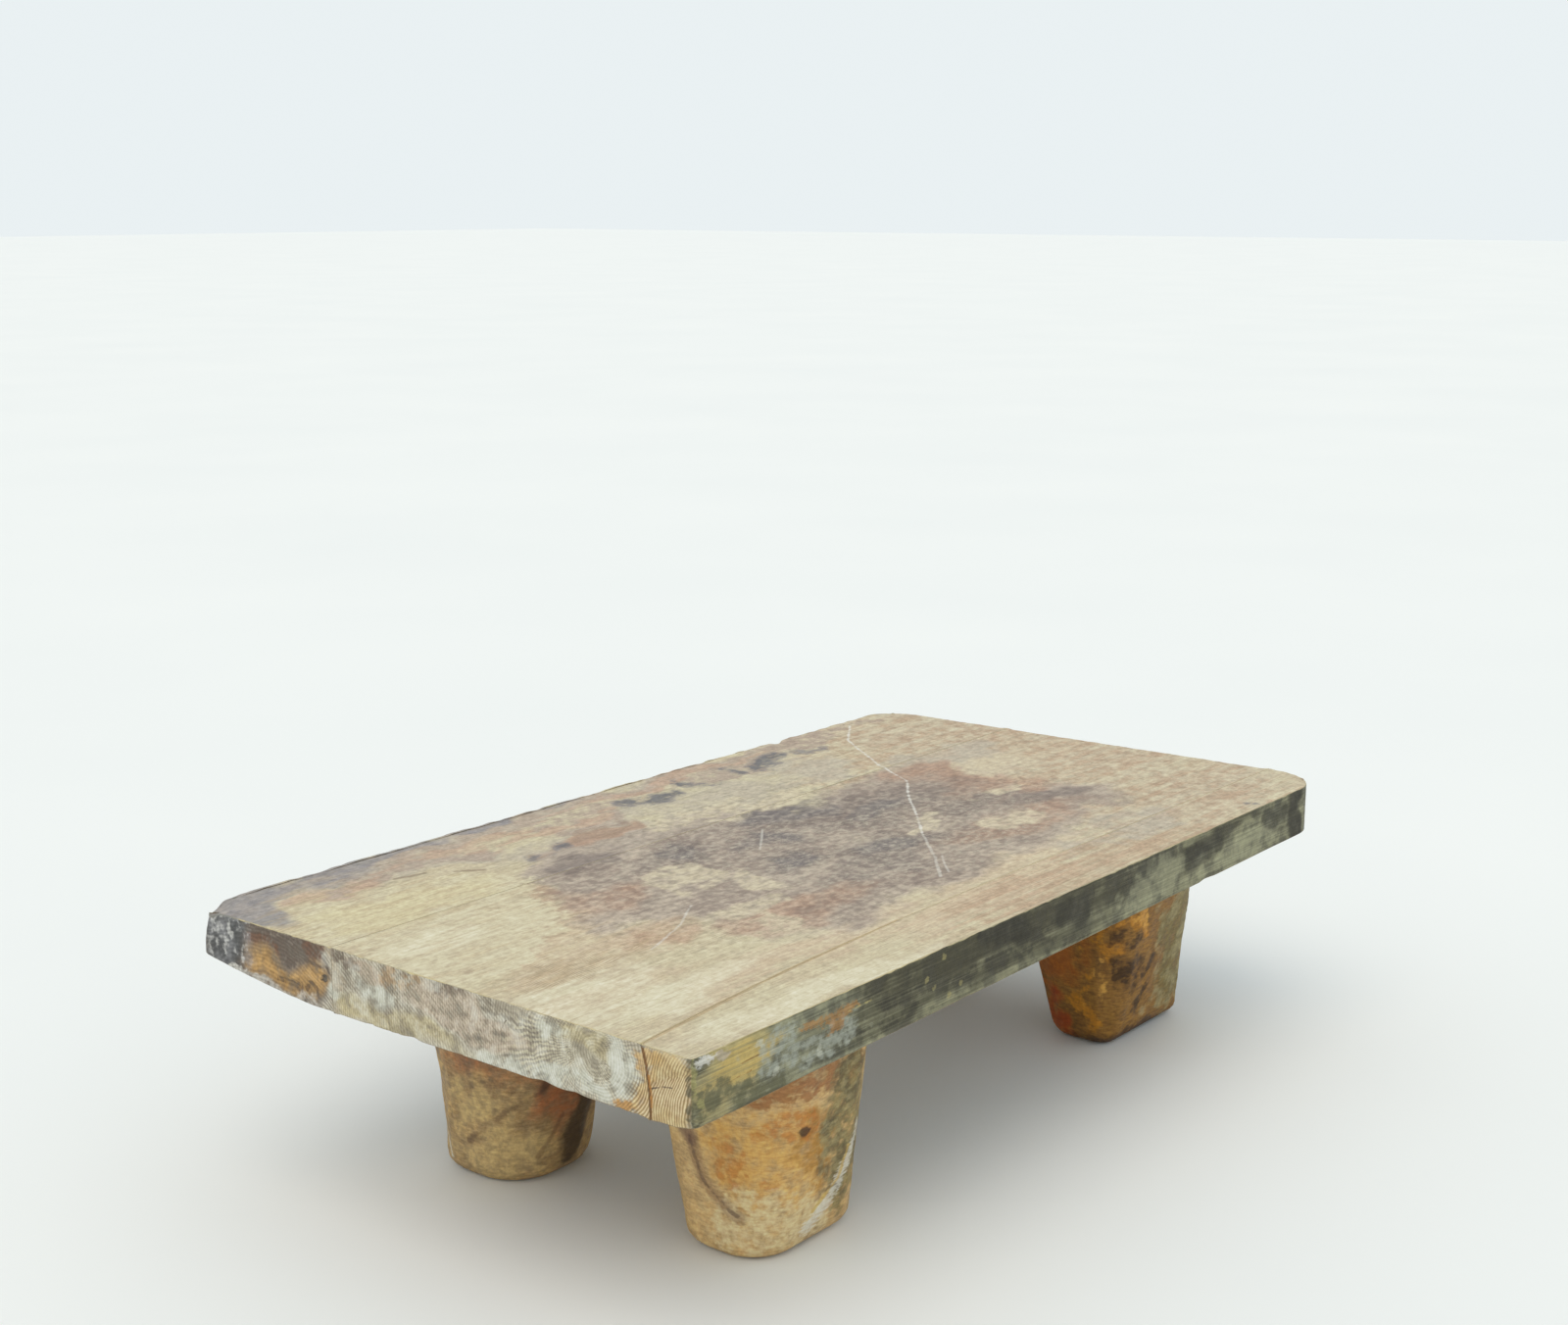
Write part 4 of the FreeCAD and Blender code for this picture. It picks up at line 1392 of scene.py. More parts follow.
def belt(circles: list[tuple[Array, float]]) -> list[Array]:
    """The tight outline round a ring of circles, in one piece for each straight edge.

    Args:
        circles: Middle and radius of each, anticlockwise.

    Returns:
        For each edge an (n, 4) array of points and outward normals, from the middle of one
        corner's arc to the middle of the next.
    """
    angles = []
    for (middle, radius), (after, after_radius) in zip(circles, circles[1:] + circles[:1]):
        run = after - middle
        length = float(np.linalg.norm(run))
        tilt = math.asin((radius - after_radius) / length)
        angles.append(math.atan2(run[1], run[0]) - math.pi / 2 + tilt)
    edges = []
    arc_steps = 12
    for place, (middle, radius) in enumerate(circles):
        angle = angles[place]
        before = angle - ((angle - angles[place - 1]) % (2 * math.pi)) / 2
        after = angle + ((angles[(place + 1) % len(circles)] - angle) % (2 * math.pi)) / 2
        next_middle, next_radius = circles[(place + 1) % len(circles)]
        turns = np.concatenate([
            np.linspace(before, angle, arc_steps), np.linspace(angle, after, arc_steps)])
        normals = np.column_stack([np.cos(turns), np.sin(turns)])
        points = np.concatenate([
            middle + radius * normals[:arc_steps],
            next_middle + next_radius * normals[arc_steps:],
        ])
        edges.append(np.column_stack([points, normals]))
    return edges


def spaced(line: Array, count: int, axis: int = 0, span: Vec2 | None = None) -> Array:
    """Even points along a line, or along a stretch of it.

    Args:
        line: An (n, 4) array of points and normals.
        count: How many points are wanted.
        axis: 0 or 1 for the coordinate that the stretch is cut by.
        span: Where the stretch starts and ends on that axis, rising.

    Returns:
        A (count, 4) array.
    """
    run = np.concatenate(
        [[0.0], np.cumsum(np.linalg.norm(np.diff(line[:, :2], axis=0), axis=1))])
    first, last = (0.0, run[-1]) if span is None else np.interp(span, line[:, axis], run)
    places = np.linspace(first, last, count)
    return np.column_stack([np.interp(places, run, line[:, column]) for column in range(4)])


@dataclass(frozen=True)
class Board:
    """One board of the top, as a closed grid.

    Args:
        node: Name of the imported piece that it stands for.
        name: Name of the finished piece.
        plan: The top that it belongs to.
        along: Cells along the board.
        across: Cells across it.
        joint_front: True when its front meets the strip.
        joint_back: True when its back meets the back board.
        seed: Picks its wear.
        top_wear: How far the upper edge is worn round.
        back_wear: The same at the back.
        joint_wear: The same at a joint.
        bottom_wear: How far the lower edge is worn.
        gap: Half the gap in a joint.
        wall_rows: Rows of faces down a side.
        wear_run: How far a joint's wear fades into that of an open edge.
        chips: How many times chips are drawn.
    """

    node: str
    name: str
    plan: TopPlan
    along: int
    across: int
    joint_front: bool
    joint_back: bool
    seed: int
    top_wear: float = 1.5
    back_wear: float = 2.8
    joint_wear: float = 0.35
    bottom_wear: float = 1.5
    gap: float = 0.075
    wall_rows: int = 17
    wear_run: float = 9.0
    chips: int = 26

    def joint_y(self, x: Array, side: int) -> Array:
        """Where one of the board's joints lies.

        Args:
            x: Places along the table.
            side: -1 for the joint at the board's front, 1 for the one at its back.

        Returns:
            How far back the board's own edge is at each place.
        """
        with_strip = self.node == "front_strip" or side < 0 and self.node == "middle_board"
        line = self.plan.strip_joint if with_strip else self.plan.back_joint
        return line(x) - self.gap * side

    def sides(self) -> list[Array]:
        """Front, right, back and left outline, rising along X or Y.

        Returns:
            Four (n, 4) arrays of points and outward normals.
        """
        front, right, back, left = belt(self.plan.corners())
        back, left = back[::-1], left[::-1]
        ends = []
        for line, x in ((right, self.plan.high[0]), (left, self.plan.low[0])):
            low, high = line[0, 1], line[-1, 1]
            if self.joint_front:
                low = self.joint_y(np.array([x]), -1)[0]
            if self.joint_back:
                high = self.joint_y(np.array([x]), 1)[0]
            ends.append(spaced(line, self.across + 1, 1, (low, high)))
        right, left = ends
        front = self.joint(left[0], right[0], -1) if self.joint_front else spaced(
            front, self.along + 1)
        back = self.joint(left[-1], right[-1], 1) if self.joint_back else spaced(
            back, self.along + 1)
        return [front, right, back, left]

    def joint(self, start: Array, end: Array, side: int) -> Array:
        """Outline along a joint.

        Args:
            start: Its left end.
            end: Its right end.
            side: -1 when the joint is the board's front, 1 when it is its back.

        Returns:
            An (n, 4) array of points and outward normals.
        """
        x = np.linspace(start[0], end[0], self.along + 1)
        y = self.joint_y(x, side)
        slope = np.gradient(y, x)
        size = np.sqrt(1 + slope * slope)
        return np.column_stack([x, y, -side * slope / size, side / size])

    def wear(self, sides: list[Array]) -> list[Array]:
        """How far the upper edge is worn round.

        Args:
            sides: The outline.

        Returns:
            A distance for each point of each side.
        """
        worn = []
        jointed = (self.joint_front, False, self.joint_back, False)
        base = (self.top_wear, self.top_wear, self.back_wear, self.top_wear)
        # The back left corner has rotted, so its edge is the roundest
        back_left = np.array((self.plan.low[0], self.plan.high[1]))
        rot_wear, rot_reach, most = 3.6, 20.0, 6.5
        wide, narrow, narrow_share, swing = 26.0, 9.0, 0.7, 0.34
        corner_wear = 0.7
        for place, side in enumerate(sides):
            points = side[:, :2]
            if jointed[place]:
                amount = np.full(len(side), self.joint_wear)
            else:
                fine = waver(points, wide, self.seed)
                fine = fine + narrow_share * waver(points, narrow, self.seed + 1)
                amount = base[place] * np.clip(1 + swing * fine, 0.45, 2.0)
                near = np.linalg.norm(points - back_left, axis=1)
                amount = np.minimum(amount + rot_wear * np.exp(-((near / rot_reach) ** 2)), most)
            worn.append(amount)
        for place, side in enumerate(sides):
            for end, other in ((0, place - 1), (-1, (place + 1) % 4)):
                if jointed[place] == jointed[other]:
                    continue
                away = np.linalg.norm(side[:, :2] - side[end, :2], axis=1)
                share = ease(np.clip(away / self.wear_run, 0, 1))
                worn[place] = corner_wear * (1 - share) + worn[place] * share
        return worn

    def ring(
        self, sides: list[Array], insets: list[Array], levels: list[Array]
    ) -> list[Array]:
        """The four sides at one stage of the way down.

        Args:
            sides: The outline.
            insets: How far each point is drawn in.
            levels: Its height.

        Returns:
            Four (n, 3) arrays that meet at their corners.
        """
        offsets = []
        for place, side in enumerate(sides):
            offset = -side[:, 2:] * insets[place][:, None]
            leans = (place == 0 and self.node == "middle_board") or (
                place == 2 and self.node == "front_strip")
            if leans:
                offset[:, 1] -= self.plan.lean(levels[place])
            offsets.append(offset)
        # Corners between a joint and an end take the offsets of both
        corners = [(0, 0, 3, 0), (0, -1, 1, 0), (2, -1, 1, -1), (2, 0, 3, -1)]
        sharp = (self.joint_front, self.joint_front, self.joint_back, self.joint_back)
        added = [np.zeros((len(side), 2)) for side in sides]
        for (one, one_end, two, two_end), is_sharp in zip(corners, sharp):
            if not is_sharp:
                continue
            for this, this_end, other, other_end in (
                (one, one_end, two, two_end), (two, two_end, one, one_end)):
                share = np.linspace(0, 1, len(sides[this]))
                share = 1 - share if this_end == 0 else share
                added[this] += share[:, None] * offsets[other][other_end]
        return [
            np.column_stack([side[:, :2] + offset + more, level])
            for side, offset, more, level in zip(sides, offsets, added, levels)
        ]

    @staticmethod
    def sheet(ring: list[Array]) -> Array:
        """A smooth grid inside four sides.

        Args:
            ring: Front, right, back and left side.

        Returns:
            An (along + 1, across + 1, 3) array.
        """
        front, right, back, left = ring
        u = np.linspace(0, 1, len(front))[:, None, None]
        v = np.linspace(0, 1, len(left))[None, :, None]
        return (
            (1 - v) * front[:, None] + v * back[:, None]
            + (1 - u) * left[None] + u * right[None]
            - (1 - u) * (1 - v) * front[0] - u * (1 - v) * front[-1]
            - (1 - u) * v * back[0] - u * v * back[-1]
        )

    @staticmethod
    def loop(front: Array, right: Array, back: Array,
             left: Array) -> Array:
        """Join four rising sides into one anticlockwise loop."""
        return np.concatenate([front[:-1], right[:-1], back[:0:-1], left[:0:-1]])

    def build(self) -> Piece:
        """The board's mesh before it is weathered.

        Returns:
            The object.
        """
        plan = self.plan
        sides = self.sides()
        top = plan.high[2]
        worn = self.wear(sides)
        bottoms = [plan.bottom(side[:, 0], side[:, 1]) for side in sides]
        arc = [math.radians(angle) for angle in (0.0, 30.0, 60.0, 90.0)]
        rings = []
        for angle in arc:
            insets = [wear * (1 - math.sin(angle)) for wear in worn]
            levels = [top - wear * (1 - math.cos(angle)) for wear in worn]
            rings.append(self.ring(sides, insets, levels))
        none = [np.zeros(len(side)) for side in sides]
        low_wear = [
            np.full(len(side), self.joint_wear if joint else self.bottom_wear)
            for side, joint in zip(sides, (self.joint_front, False, self.joint_back, False))]
        for row in range(1, self.wall_rows):
            share = row / self.wall_rows
            levels = [
                (top - wear) * (1 - share) + (bottom + low) * share
                for wear, bottom, low in zip(worn, bottoms, low_wear)]
            rings.append(self.ring(sides, none, levels))
        for angle in arc:
            insets = [low * (1 - math.cos(angle)) for low in low_wear]
            levels = [
                bottom + low * (1 - math.sin(angle))
                for bottom, low in zip(bottoms, low_wear)]
            rings.append(self.ring(sides, insets, levels))
        upper = self.sheet(rings[0])
        lower = self.sheet(rings[-1])
        lower[1:-1, 1:-1, 2] = plan.bottom(lower[..., 0], lower[..., 1])[1:-1, 1:-1]
        cells = upper.shape[:2]
        count = cells[0] * cells[1]
        upper_ids = np.arange(count).reshape(cells)
        lower_ids = upper_ids + count
        points = [upper.reshape(-1, 3), lower.reshape(-1, 3)]
        loops = [self.loop(upper_ids[:, 0], upper_ids[-1], upper_ids[:, -1], upper_ids[0])]
        total = 2 * count
        for ring in rings[1:-1]:
            row = self.loop(*ring)
            loops.append(np.arange(total, total + len(row)))
            points.append(row)
            total += len(row)
        loops.append(self.loop(lower_ids[:, 0], lower_ids[-1], lower_ids[:, -1], lower_ids[0]))
        faces = [self.quads(upper_ids), self.quads(lower_ids)[:, ::-1]]
        for above, below in zip(loops, loops[1:]):
            faces.append(np.column_stack([
                above, below, np.roll(below, -1), np.roll(above, -1)]))
        points = np.concatenate(points)
        for bite in self.bites():
            points = bite.sink(points)
        return make_object(self.name, points, np.concatenate(faces).tolist())

    @staticmethod
    def quads(ids: Array) -> Array:
        """Faces of a grid of point numbers, facing up."""
        return np.column_stack([
            ids[:-1, :-1].ravel(), ids[1:, :-1].ravel(), ids[1:, 1:].ravel(),
            ids[:-1, 1:].ravel()])

    def bites(self) -> list[Bite]:
        """Chips along the outer edges, and the knots of the left end.

        Returns:
            All that is taken out of the board.
        """
        plan = self.plan
        left, front, _ = plan.low
        right, back, top = plan.high
        rng = np.random.default_rng(self.seed)
        found = []
        # Most chips are small, and they keep away from the rounded corners
        smallest, spread = 2.5, 9.0
        near, far, behind = 4, 60, 14
        for _ in range(self.chips):
            x = rng.uniform(left + near, right - far)
            y = rng.uniform(front + near, back - behind)
            size = smallest + spread * rng.uniform(0, 1) ** 3
            depth = size * rng.uniform(0.06, 0.17)
            found += [
                Bite((x, front, top), size, depth, (0.0, 0.7, -1.0)),
                Bite((left, y, top), size * 0.8, depth * 0.7, (1.0, 0.0, -0.8)),
                Bite((x, front, plan.underside), size, depth, (0.0, 1.0, 0.6)),
                Bite((left, y, plan.underside), size, depth, (1.0, 0.0, 0.5)),
            ]
        found += [
            Bite((192.0, back - 5.0, top), 9.0, 3.0, (0.0, -1.0, -0.6)),
            Bite((left, front, 150.0), 7.0, 2.0, (1.0, 1.0, 0.0)),
            Bite((left, front, 138.0), 8.0, 2.6, (1.0, 1.0, 0.2)),
            Bite((left, front, 168.0), 6.0, 1.6, (1.0, 1.0, -0.3)),
            Bite((left, 108.0, 144.5), 5.0, 1.8, (1.0, 0.0, 0.0), (left, 122.0, 144.5)),
            Bite((left, 96.0, 146.0), 6.0, 1.2, (1.0, 0.0, 0.0)),
            Bite((left, 84.6, 155.0), 3.4, 2.0, (1.0, 0.0, 0.0)),
            Bite((left, -174.0, 157.0), 2.4, 1.2, (1.0, 0.0, 0.0), (left, -198.0, 167.0)),
            Bite((left, 4.0, 168.0), 2.4, 1.0, (1.0, 0.0, 0.0), (left, -14.0, 154.0)),
            Bite((left + 3.0, back - 2.0, top + 1.0), 19.0, 5.5, (0.25, -0.5, -0.8)),
        ]
        return found

    def shares(self, piece: Piece) -> Array:
        """How much weathering each point takes: little on the hidden joint faces.

        Args:
            piece: The board.

        Returns:
            A share from 0 to 1 for each point.
        """
        shut, fade, least = 0.6, 5.0, 0.12
        x, y, z = mesh_points(piece.data).T / MM
        share = np.ones(len(x))
        for seam in (self.plan.strip_joint(x) - self.plan.lean(z), self.plan.back_joint(x)):
            share = np.minimum(share, np.clip((np.abs(y - seam) - shut) / fade, least, 1))
        return share

    def hold_inside(self, piece: Piece) -> None:
        """Keep the points that wear moved inside the box of the whole part.

        Args:
            piece: The board.
        """
        held = np.clip(
            mesh_points(piece.data), np.array(self.plan.low) * MM, np.array(self.plan.high) * MM)
        piece.data.vertices.foreach_set("co", held.astype(np.float32).ravel())
        piece.data.update()

    def dress(self, finish: WornPlank, cutters: list[Piece]) -> Piece:
        """Build the board, weather it, cut its joinery and give it its finish.

        Args:
            finish: The board's finish.
            cutters: Mortises and peg holes.

        Returns:
            The finished piece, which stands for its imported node.
        """
        piece = self.build()
        corners = np.array(piece.bound_box) / MM
        skin = finish.skin(corners.min(0), corners.max(0))
        Weathering(
            hollow_size=60.0, hollow_depth=0.7, grain_size=(55.0, 3.2, 3.2), grain_depth=0.5,
            seed=self.seed).apply(piece, self.shares(piece), skin.material)
        self.hold_inside(piece)
        combine(piece, cutters, "DIFFERENCE")
        finish_shading(piece, skin)
        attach(piece, BODY)
        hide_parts(self.node)
        LOG.info("%s: %d faces", piece.name, len(piece.data.polygons))
        return piece


@dataclass(frozen=True)
class HewnLeg:
    """One leg, hewn from a stub of trunk and widening towards the top.

    Args:
        name: Corner that it stands at, such as front_left.
        plan: The top that it carries.
        foot_middle: Middle of its foot in plan.
        foot_size: Size of its foot along and across.
        top_shift: How far the middle of its top lies from that of its foot.
        top_size: Size of its top along and across.
        corner_share: Corner radius as a share of its shorter side.
        tenon_shift: How far its tenon stands in front of the middle of its top.
        seed: Picks its adze cuts.
        tenon_size: Length, width and height of its tenon.
        foot_round: Largest rounding round its foot.
        rim_share: The rounding's largest share of the corner radius.
        cuts: How many adze cuts there are.
        around: Points round a section.
        up: Sections up the leg.
        rim_rows: Sections in the rounding.
        cap_rows: Rings in the foot and in the shoulder.
        sink_in: How far the shoulder stands into the top.
        clearance: Gap round the tenon.
        floor_gap: Gap over the tenon.
        overlap: How far the tenon's block runs down into the leg.
        cut_band: Half the height of the band that a cut is laid against.
        cut_lift: How far up the slope of a cut is measured.
        cut_reach: How far up and down a cut runs.
    """

    name: str
    plan: TopPlan
    foot_middle: Vec2
    foot_size: Vec2
    top_shift: Vec2
    top_size: Vec2
    corner_share: float
    tenon_shift: float
    seed: int
    tenon_size: Vec3 = (44.0, 36.0, 26.0)
    foot_round: float = 12.0
    rim_share: float = 0.75
    cuts: int = 34
    around: int = 168
    up: int = 72
    rim_rows: int = 7
    cap_rows: int = 14
    sink_in: float = 0.5
    clearance: float = 0.15
    floor_gap: float = 0.8
    overlap: float = 20.0
    cut_band: float = 6.0
    cut_lift: float = 14.0
    cut_reach: float = 34.0

    @property
    def node(self) -> str:
        """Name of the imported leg."""
        return self.name + "_leg"

    @property
    def rim(self) -> float:
        """Height of the rounding round its foot."""
        return min(self.foot_round, min(self.foot_size) * self.corner_share * self.rim_share)

    @property
    def tenon(self) -> tuple[Vec3, Vec3]:
        """Lowest and highest corner of its tenon."""
        x = self.foot_middle[0] + self.top_shift[0]
        y = self.foot_middle[1] + self.top_shift[1] - self.tenon_shift
        along, across, length = self.tenon_size
        base = self.plan.underside
        return (x - along / 2, y - across / 2, base), (x + along / 2, y + across / 2, base + length)

    def section(self, height: float, inset: float) -> Array:
        """Rounded section of the leg at one height.

        Args:
            height: Height of the section.
            inset: How far it is drawn in all round.

        Returns:
            An (around, 3) array, anticlockwise.
        """
        share = height / self.plan.underside
        middle = np.array(self.foot_middle) + np.array(self.top_shift) * share
        size = np.array(self.foot_size) * (1 - share) + np.array(self.top_size) * share
        radius = min(size) * self.corner_share
        reach = size / 2 - radius
        circles = [
            (middle + reach * np.array(way), radius - inset)
            for way in ((-1, -1), (1, -1), (1, 1), (-1, 1))]
        line = np.concatenate([edge[:-1] for edge in belt(circles)])
        line = np.concatenate([line, line[:1]])
        ring = spaced(line, self.around + 1)[:-1, :2]
        return np.column_stack([ring, np.full(self.around, height)])

    def hewn(self, points: Array) -> Array:
        """Points of the leg after the adze has left its flats.

        Args:
            points: An (n, 3) array.

        Returns:
            The moved points.
        """
        # How far a cut may swing and rise, its usual slope, and how it may bend
        swing, rise, slope, bend = 0.16, 0.10, -0.18, 0.06
        shallow, deep = 0.4, 1.8
        full = 1.6
        rng = np.random.default_rng(self.seed)
        middle = points.mean(0)
        billet = points
        for _ in range(self.cuts):
            angle = rng.uniform(0, 2 * math.pi)
            height = rng.uniform(self.cut_band, self.plan.underside)
            level = billet[np.abs(billet[:, 2] - height) < self.cut_band]
            way = np.array((math.cos(angle), math.sin(angle), 0.0))
            reach = float(np.max((level - middle) @ way))
            tilt = np.array((
                math.cos(angle + rng.uniform(-swing, swing)),
                math.sin(angle + rng.uniform(-swing, swing)),
                slope + rng.uniform(-rise, rise)))
            tilt /= np.linalg.norm(tilt)
            touch = level[np.argmax((level - middle) @ way)]
            above = billet[np.abs(billet[:, 2] - height - self.cut_lift) < self.cut_band]
            if len(above):
                spread = float(np.max((above - middle) @ way)) - reach
                tilt[2] = (-spread / self.cut_lift + rng.uniform(-bend, bend)) * np.linalg.norm(
                    tilt[:2])
                tilt /= np.linalg.norm(tilt)
            depth = rng.uniform(shallow, deep)
            over = (points - touch) @ tilt + depth
            near = np.clip(full - np.abs(points[:, 2] - height) / self.cut_reach, 0, 1)
            points = points - tilt * (np.clip(over, 0, reach) * near)[:, None]
        return points

    def build(self) -> Piece:
        """The leg's mesh with its tenon, before it is weathered.

        Returns:
            The object.
        """
        rim = self.rim
        levels = [
            (rim * (1 - math.cos(angle)), rim * (1 - math.sin(angle)))
            for angle in np.linspace(0, math.pi / 2, self.rim_rows)]
        top = self.plan.underside
        levels += [(height, 0.0) for height in np.linspace(rim, top, self.up)[1:]]
        rows = [self.section(height, inset) for height, inset in levels]
        skin = self.hewn(np.concatenate(rows)).reshape(len(rows), self.around, 3)
        skin[0, :, 2] = 0.0
        skin[:, :, 2] = np.clip(skin[:, :, 2], 0.0, None)
        # The top is scribed to the underside, which rises under the waney edge
        rest = self.plan.bottom(skin[-1, :, 0], skin[-1, :, 1]) + self.sink_in
        share = np.linspace(0, 1, len(rows))[:, None]
        skin[:, :, 2] += share * (rest - skin[-1, :, 2])
        foot, head = skin[0].mean(0), skin[-1].mean(0)
        points = [skin.reshape(-1, 3)]
        ids = [np.arange(self.around) + row * self.around for row in range(len(rows))]
        total = len(rows) * self.around
        faces = []
        for below, above in zip(ids, ids[1:]):
            faces += self.band(below, above)
        for ring, loop, middle, turned in (
            (skin[0], ids[0], foot, True), (skin[-1], ids[-1], head, False)):
            for row in range(1, self.cap_rows):
                share = 1 - row / self.cap_rows
                inner = middle + (ring - middle) * share
                if not turned:
                    inner[:, 2] = self.plan.bottom(inner[:, 0], inner[:, 1]) + self.sink_in
                points.append(inner)
                inner_ids = np.arange(total, total + self.around)
                total += self.around
                faces += self.band(inner_ids, loop) if turned else self.band(loop, inner_ids)
                loop = inner_ids
            points.append(middle[None])
            for one, two in zip(loop, np.roll(loop, -1)):
                faces.append((two, one, total) if turned else (one, two, total))
            total += 1
        return make_object(
            self.name + "_leg_hewn", np.concatenate(points),
            [tuple(map(int, face)) for face in faces])

    @staticmethod
    def band(below: Array, above: Array) -> list[tuple[int, ...]]:
        """Faces between two rings of points, facing outwards."""
        return list(zip(below, np.roll(below, -1), np.roll(above, -1), above))

    def mortise(self) -> Piece:
        """The hole that the tenon needs in the middle board."""
        low, high = self.tenon
        side = np.array((self.clearance, self.clearance, 0.0))
        return block(low - side - (0, 0, self.overlap / 2), high + side + (0, 0, self.floor_gap))

    def dress(self, finish: HewnBillet) -> Piece:
        """Build the leg, weather it, shape its tenon and give it its finish.

        Args:
            finish: The leg's finish.

        Returns:
            The finished piece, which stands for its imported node.
        """
        piece = self.build()
        corners = np.array(piece.bound_box) / MM
        skin = finish.skin(corners.min(0), corners.max(0))
        height = mesh_points(piece.data)[:, 2].astype(float) / MM
        foot_fade, top_fade, least = 8.0, 6.0, 0.1
        share = np.clip(height / foot_fade, 0, 1) * np.clip(
            (self.plan.underside - height) / top_fade, least, 1)
        Weathering(
            hollow_size=26.0, hollow_depth=1.6, grain_size=(15.0, 15.0, 7.5), grain_depth=0.6,
            seed=self.seed).apply(piece, share, skin.material)
        low, high = self.tenon
        tenon = block((low[0], low[1], low[2] - self.overlap), high)
        combine(piece, [tenon], "UNION")
        combine(piece, [swollen_copy(self.name + "_wedge")], "DIFFERENCE")
        finish_shading(piece, skin)
        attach(piece, BODY)
        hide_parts(self.node)
        LOG.info("%s: %d faces", piece.name, len(piece.data.polygons))
        return piece


# Three of the legs share their lowest coats: pale and brown blotches over straw
LEG_BASE = coats(
    ("#916a3a", 0.42, (), CLOUD, 3.0, 0.45),
    ("#d8b06d", 0.5, (), MOTTLE, 2.6, 0.5, 0.5),
    ("#7d5c32", 0.45, (), MOTTLE, -3.0, 0.45, 0.4),
    ("#dcc596", 0.2, (), FINE, 2.0, 0.5, 0.42),
    ("#6b4f2a", 0.2, (), FINE, -2.2, 0.5, 0.4),
)
LEG_RUN = (6.5, 6.5, 1.6)

FRONT_LEFT_COATS = LEG_BASE + coats(
    ("#d6a555", 0.75, patches((-250, -152, 70, 30, 34, 38), (-226, -160, 62, 28, 24, 30)), MOTTLE, 2.2,
     0.4, 0.7),
    ("#a06d24", 0.72, patches((-226, -167, 78, 22, 14, 24), (-206, -166, 58, 14, 12, 20)), MOTTLE, 2.4,
     0.45, 0.8),
    ("#b4702f", 0.7, patches((-262, -140, 66, 16, 14, 20), (-246, -154, 52, 14, 12, 10),
     (-243, -166, 92, 16, 12, 10), (-258, -150, 94, 14, 14, 12)), GRIT, 3.2, 0.35, 0.6),
    ("#d8c395", 0.8, patches((-245, -150, 24, 38, 34, 24), (-215, -162, 18, 26, 16, 14)), GRIT, 2.6,
     0.45, 0.7),
    ("#8e5426", 0.75, patches((-235, -168, 118, 50, 40, 12), (-190, -172, 114, 30, 20, 14)), GRIT, 2.8,
     0.4, 0.75),
    ("#7b6e42", 0.85, patches((-190, -174, 98, 30, 26, 34), (-178, -165, 52, 18, 20, 34)), GRIT, 2.6,
     0.4, 0.75),
    ("#4f4728", 0.75, patches((-188, -172, 84, 32, 30, 52)), MOTTLE, -3.2, 0.42, 0.5),
    ("#b9a878", 0.35, patches((-186, -172, 84, 32, 30, 50)), GRIT, 3.4, 0.4, 0.4),
    ("#d6d0c0", 0.8, path(9, (-210.5, -156, 14.6), (-192.6, -158, 26), (-181, -163, 49),
     (-172, -162.5, 67)), FINE, 3.0),
    ("#c7a455", 0.7, path(3, (-206.5, -158, 25), (-187, -161, 39.5), (-182.5, -165, 59)), GRIT, 2.2),
    ("#6e5548", 0.7, path(11, (-257, -94, 88), (-257.6, -108, 75)), MOTTLE, 2.4, 0.45),
    ("#7d5b46", 0.5, path(9, (-257.6, -108, 75), (-255, -116, 49), (-249, -136, 31)), MOTTLE, 2.6,
     0.45),
    ("#4f3a33", 0.55, path(2.6, (-257.6, -108, 75), (-255, -116, 49), (-249, -136, 31)), GRIT, 3.6),
    ("#35241a", 0.85, patches((-230.5, -169, 85, 4.4, 6, 3.8)), GRIT, 1.8, 0.35),
)

BACK_LEFT_COATS = LEG_BASE + coats(
    ("#a9633c", 0.85, patches((-258, 40, 104, 44, 54, 34), (-240, 20, 64, 16, 22, 30)), MOTTLE, 1.8,
     0.5, 0.85),
    ("#6a4a34", 0.5, patches((-255, 40, 96, 50, 60, 40)), MOTTLE, -3.4, 0.4, 0.42),
    ("#c8ab74", 0.85, patches((-262, 45, 20, 26, 40, 20), (-268, 60, 50, 14, 26, 24)), MOTTLE, 1.8,
     0.45, 0.85),
    ("#8d7b5d", 0.35, patches((-262, 55, 40, 40, 50, 50)), GRIT, -3.4, 0.4, 0.4),
    ("#43321f", 0.9, patches((-211, 19, 46, 26, 15, 60)), MOTTLE, 1.6),
    ("#d6d0be", 0.9, path(3.4, (-258, 95, 26), (-262.4, 86, 11)), SPECK, 2.0, 0.35),
    ("#533b2d", 0.75, path(6.5, (-240, 17, 80), (-246, 21, 66)), MOTTLE, 2.0, 0.45),
    ("#5a4231", 0.6, path(3.6, (-246, 21, 66), (-261.7, 36.4, 54.2), (-266, 66, 27)), GRIT, 2.8, 0.45),
    ("#6b4f38", 0.55, path(3.6, (-229, 21, 45), (-244, 29, 19.5)), GRIT, 2.4, 0.45),
)

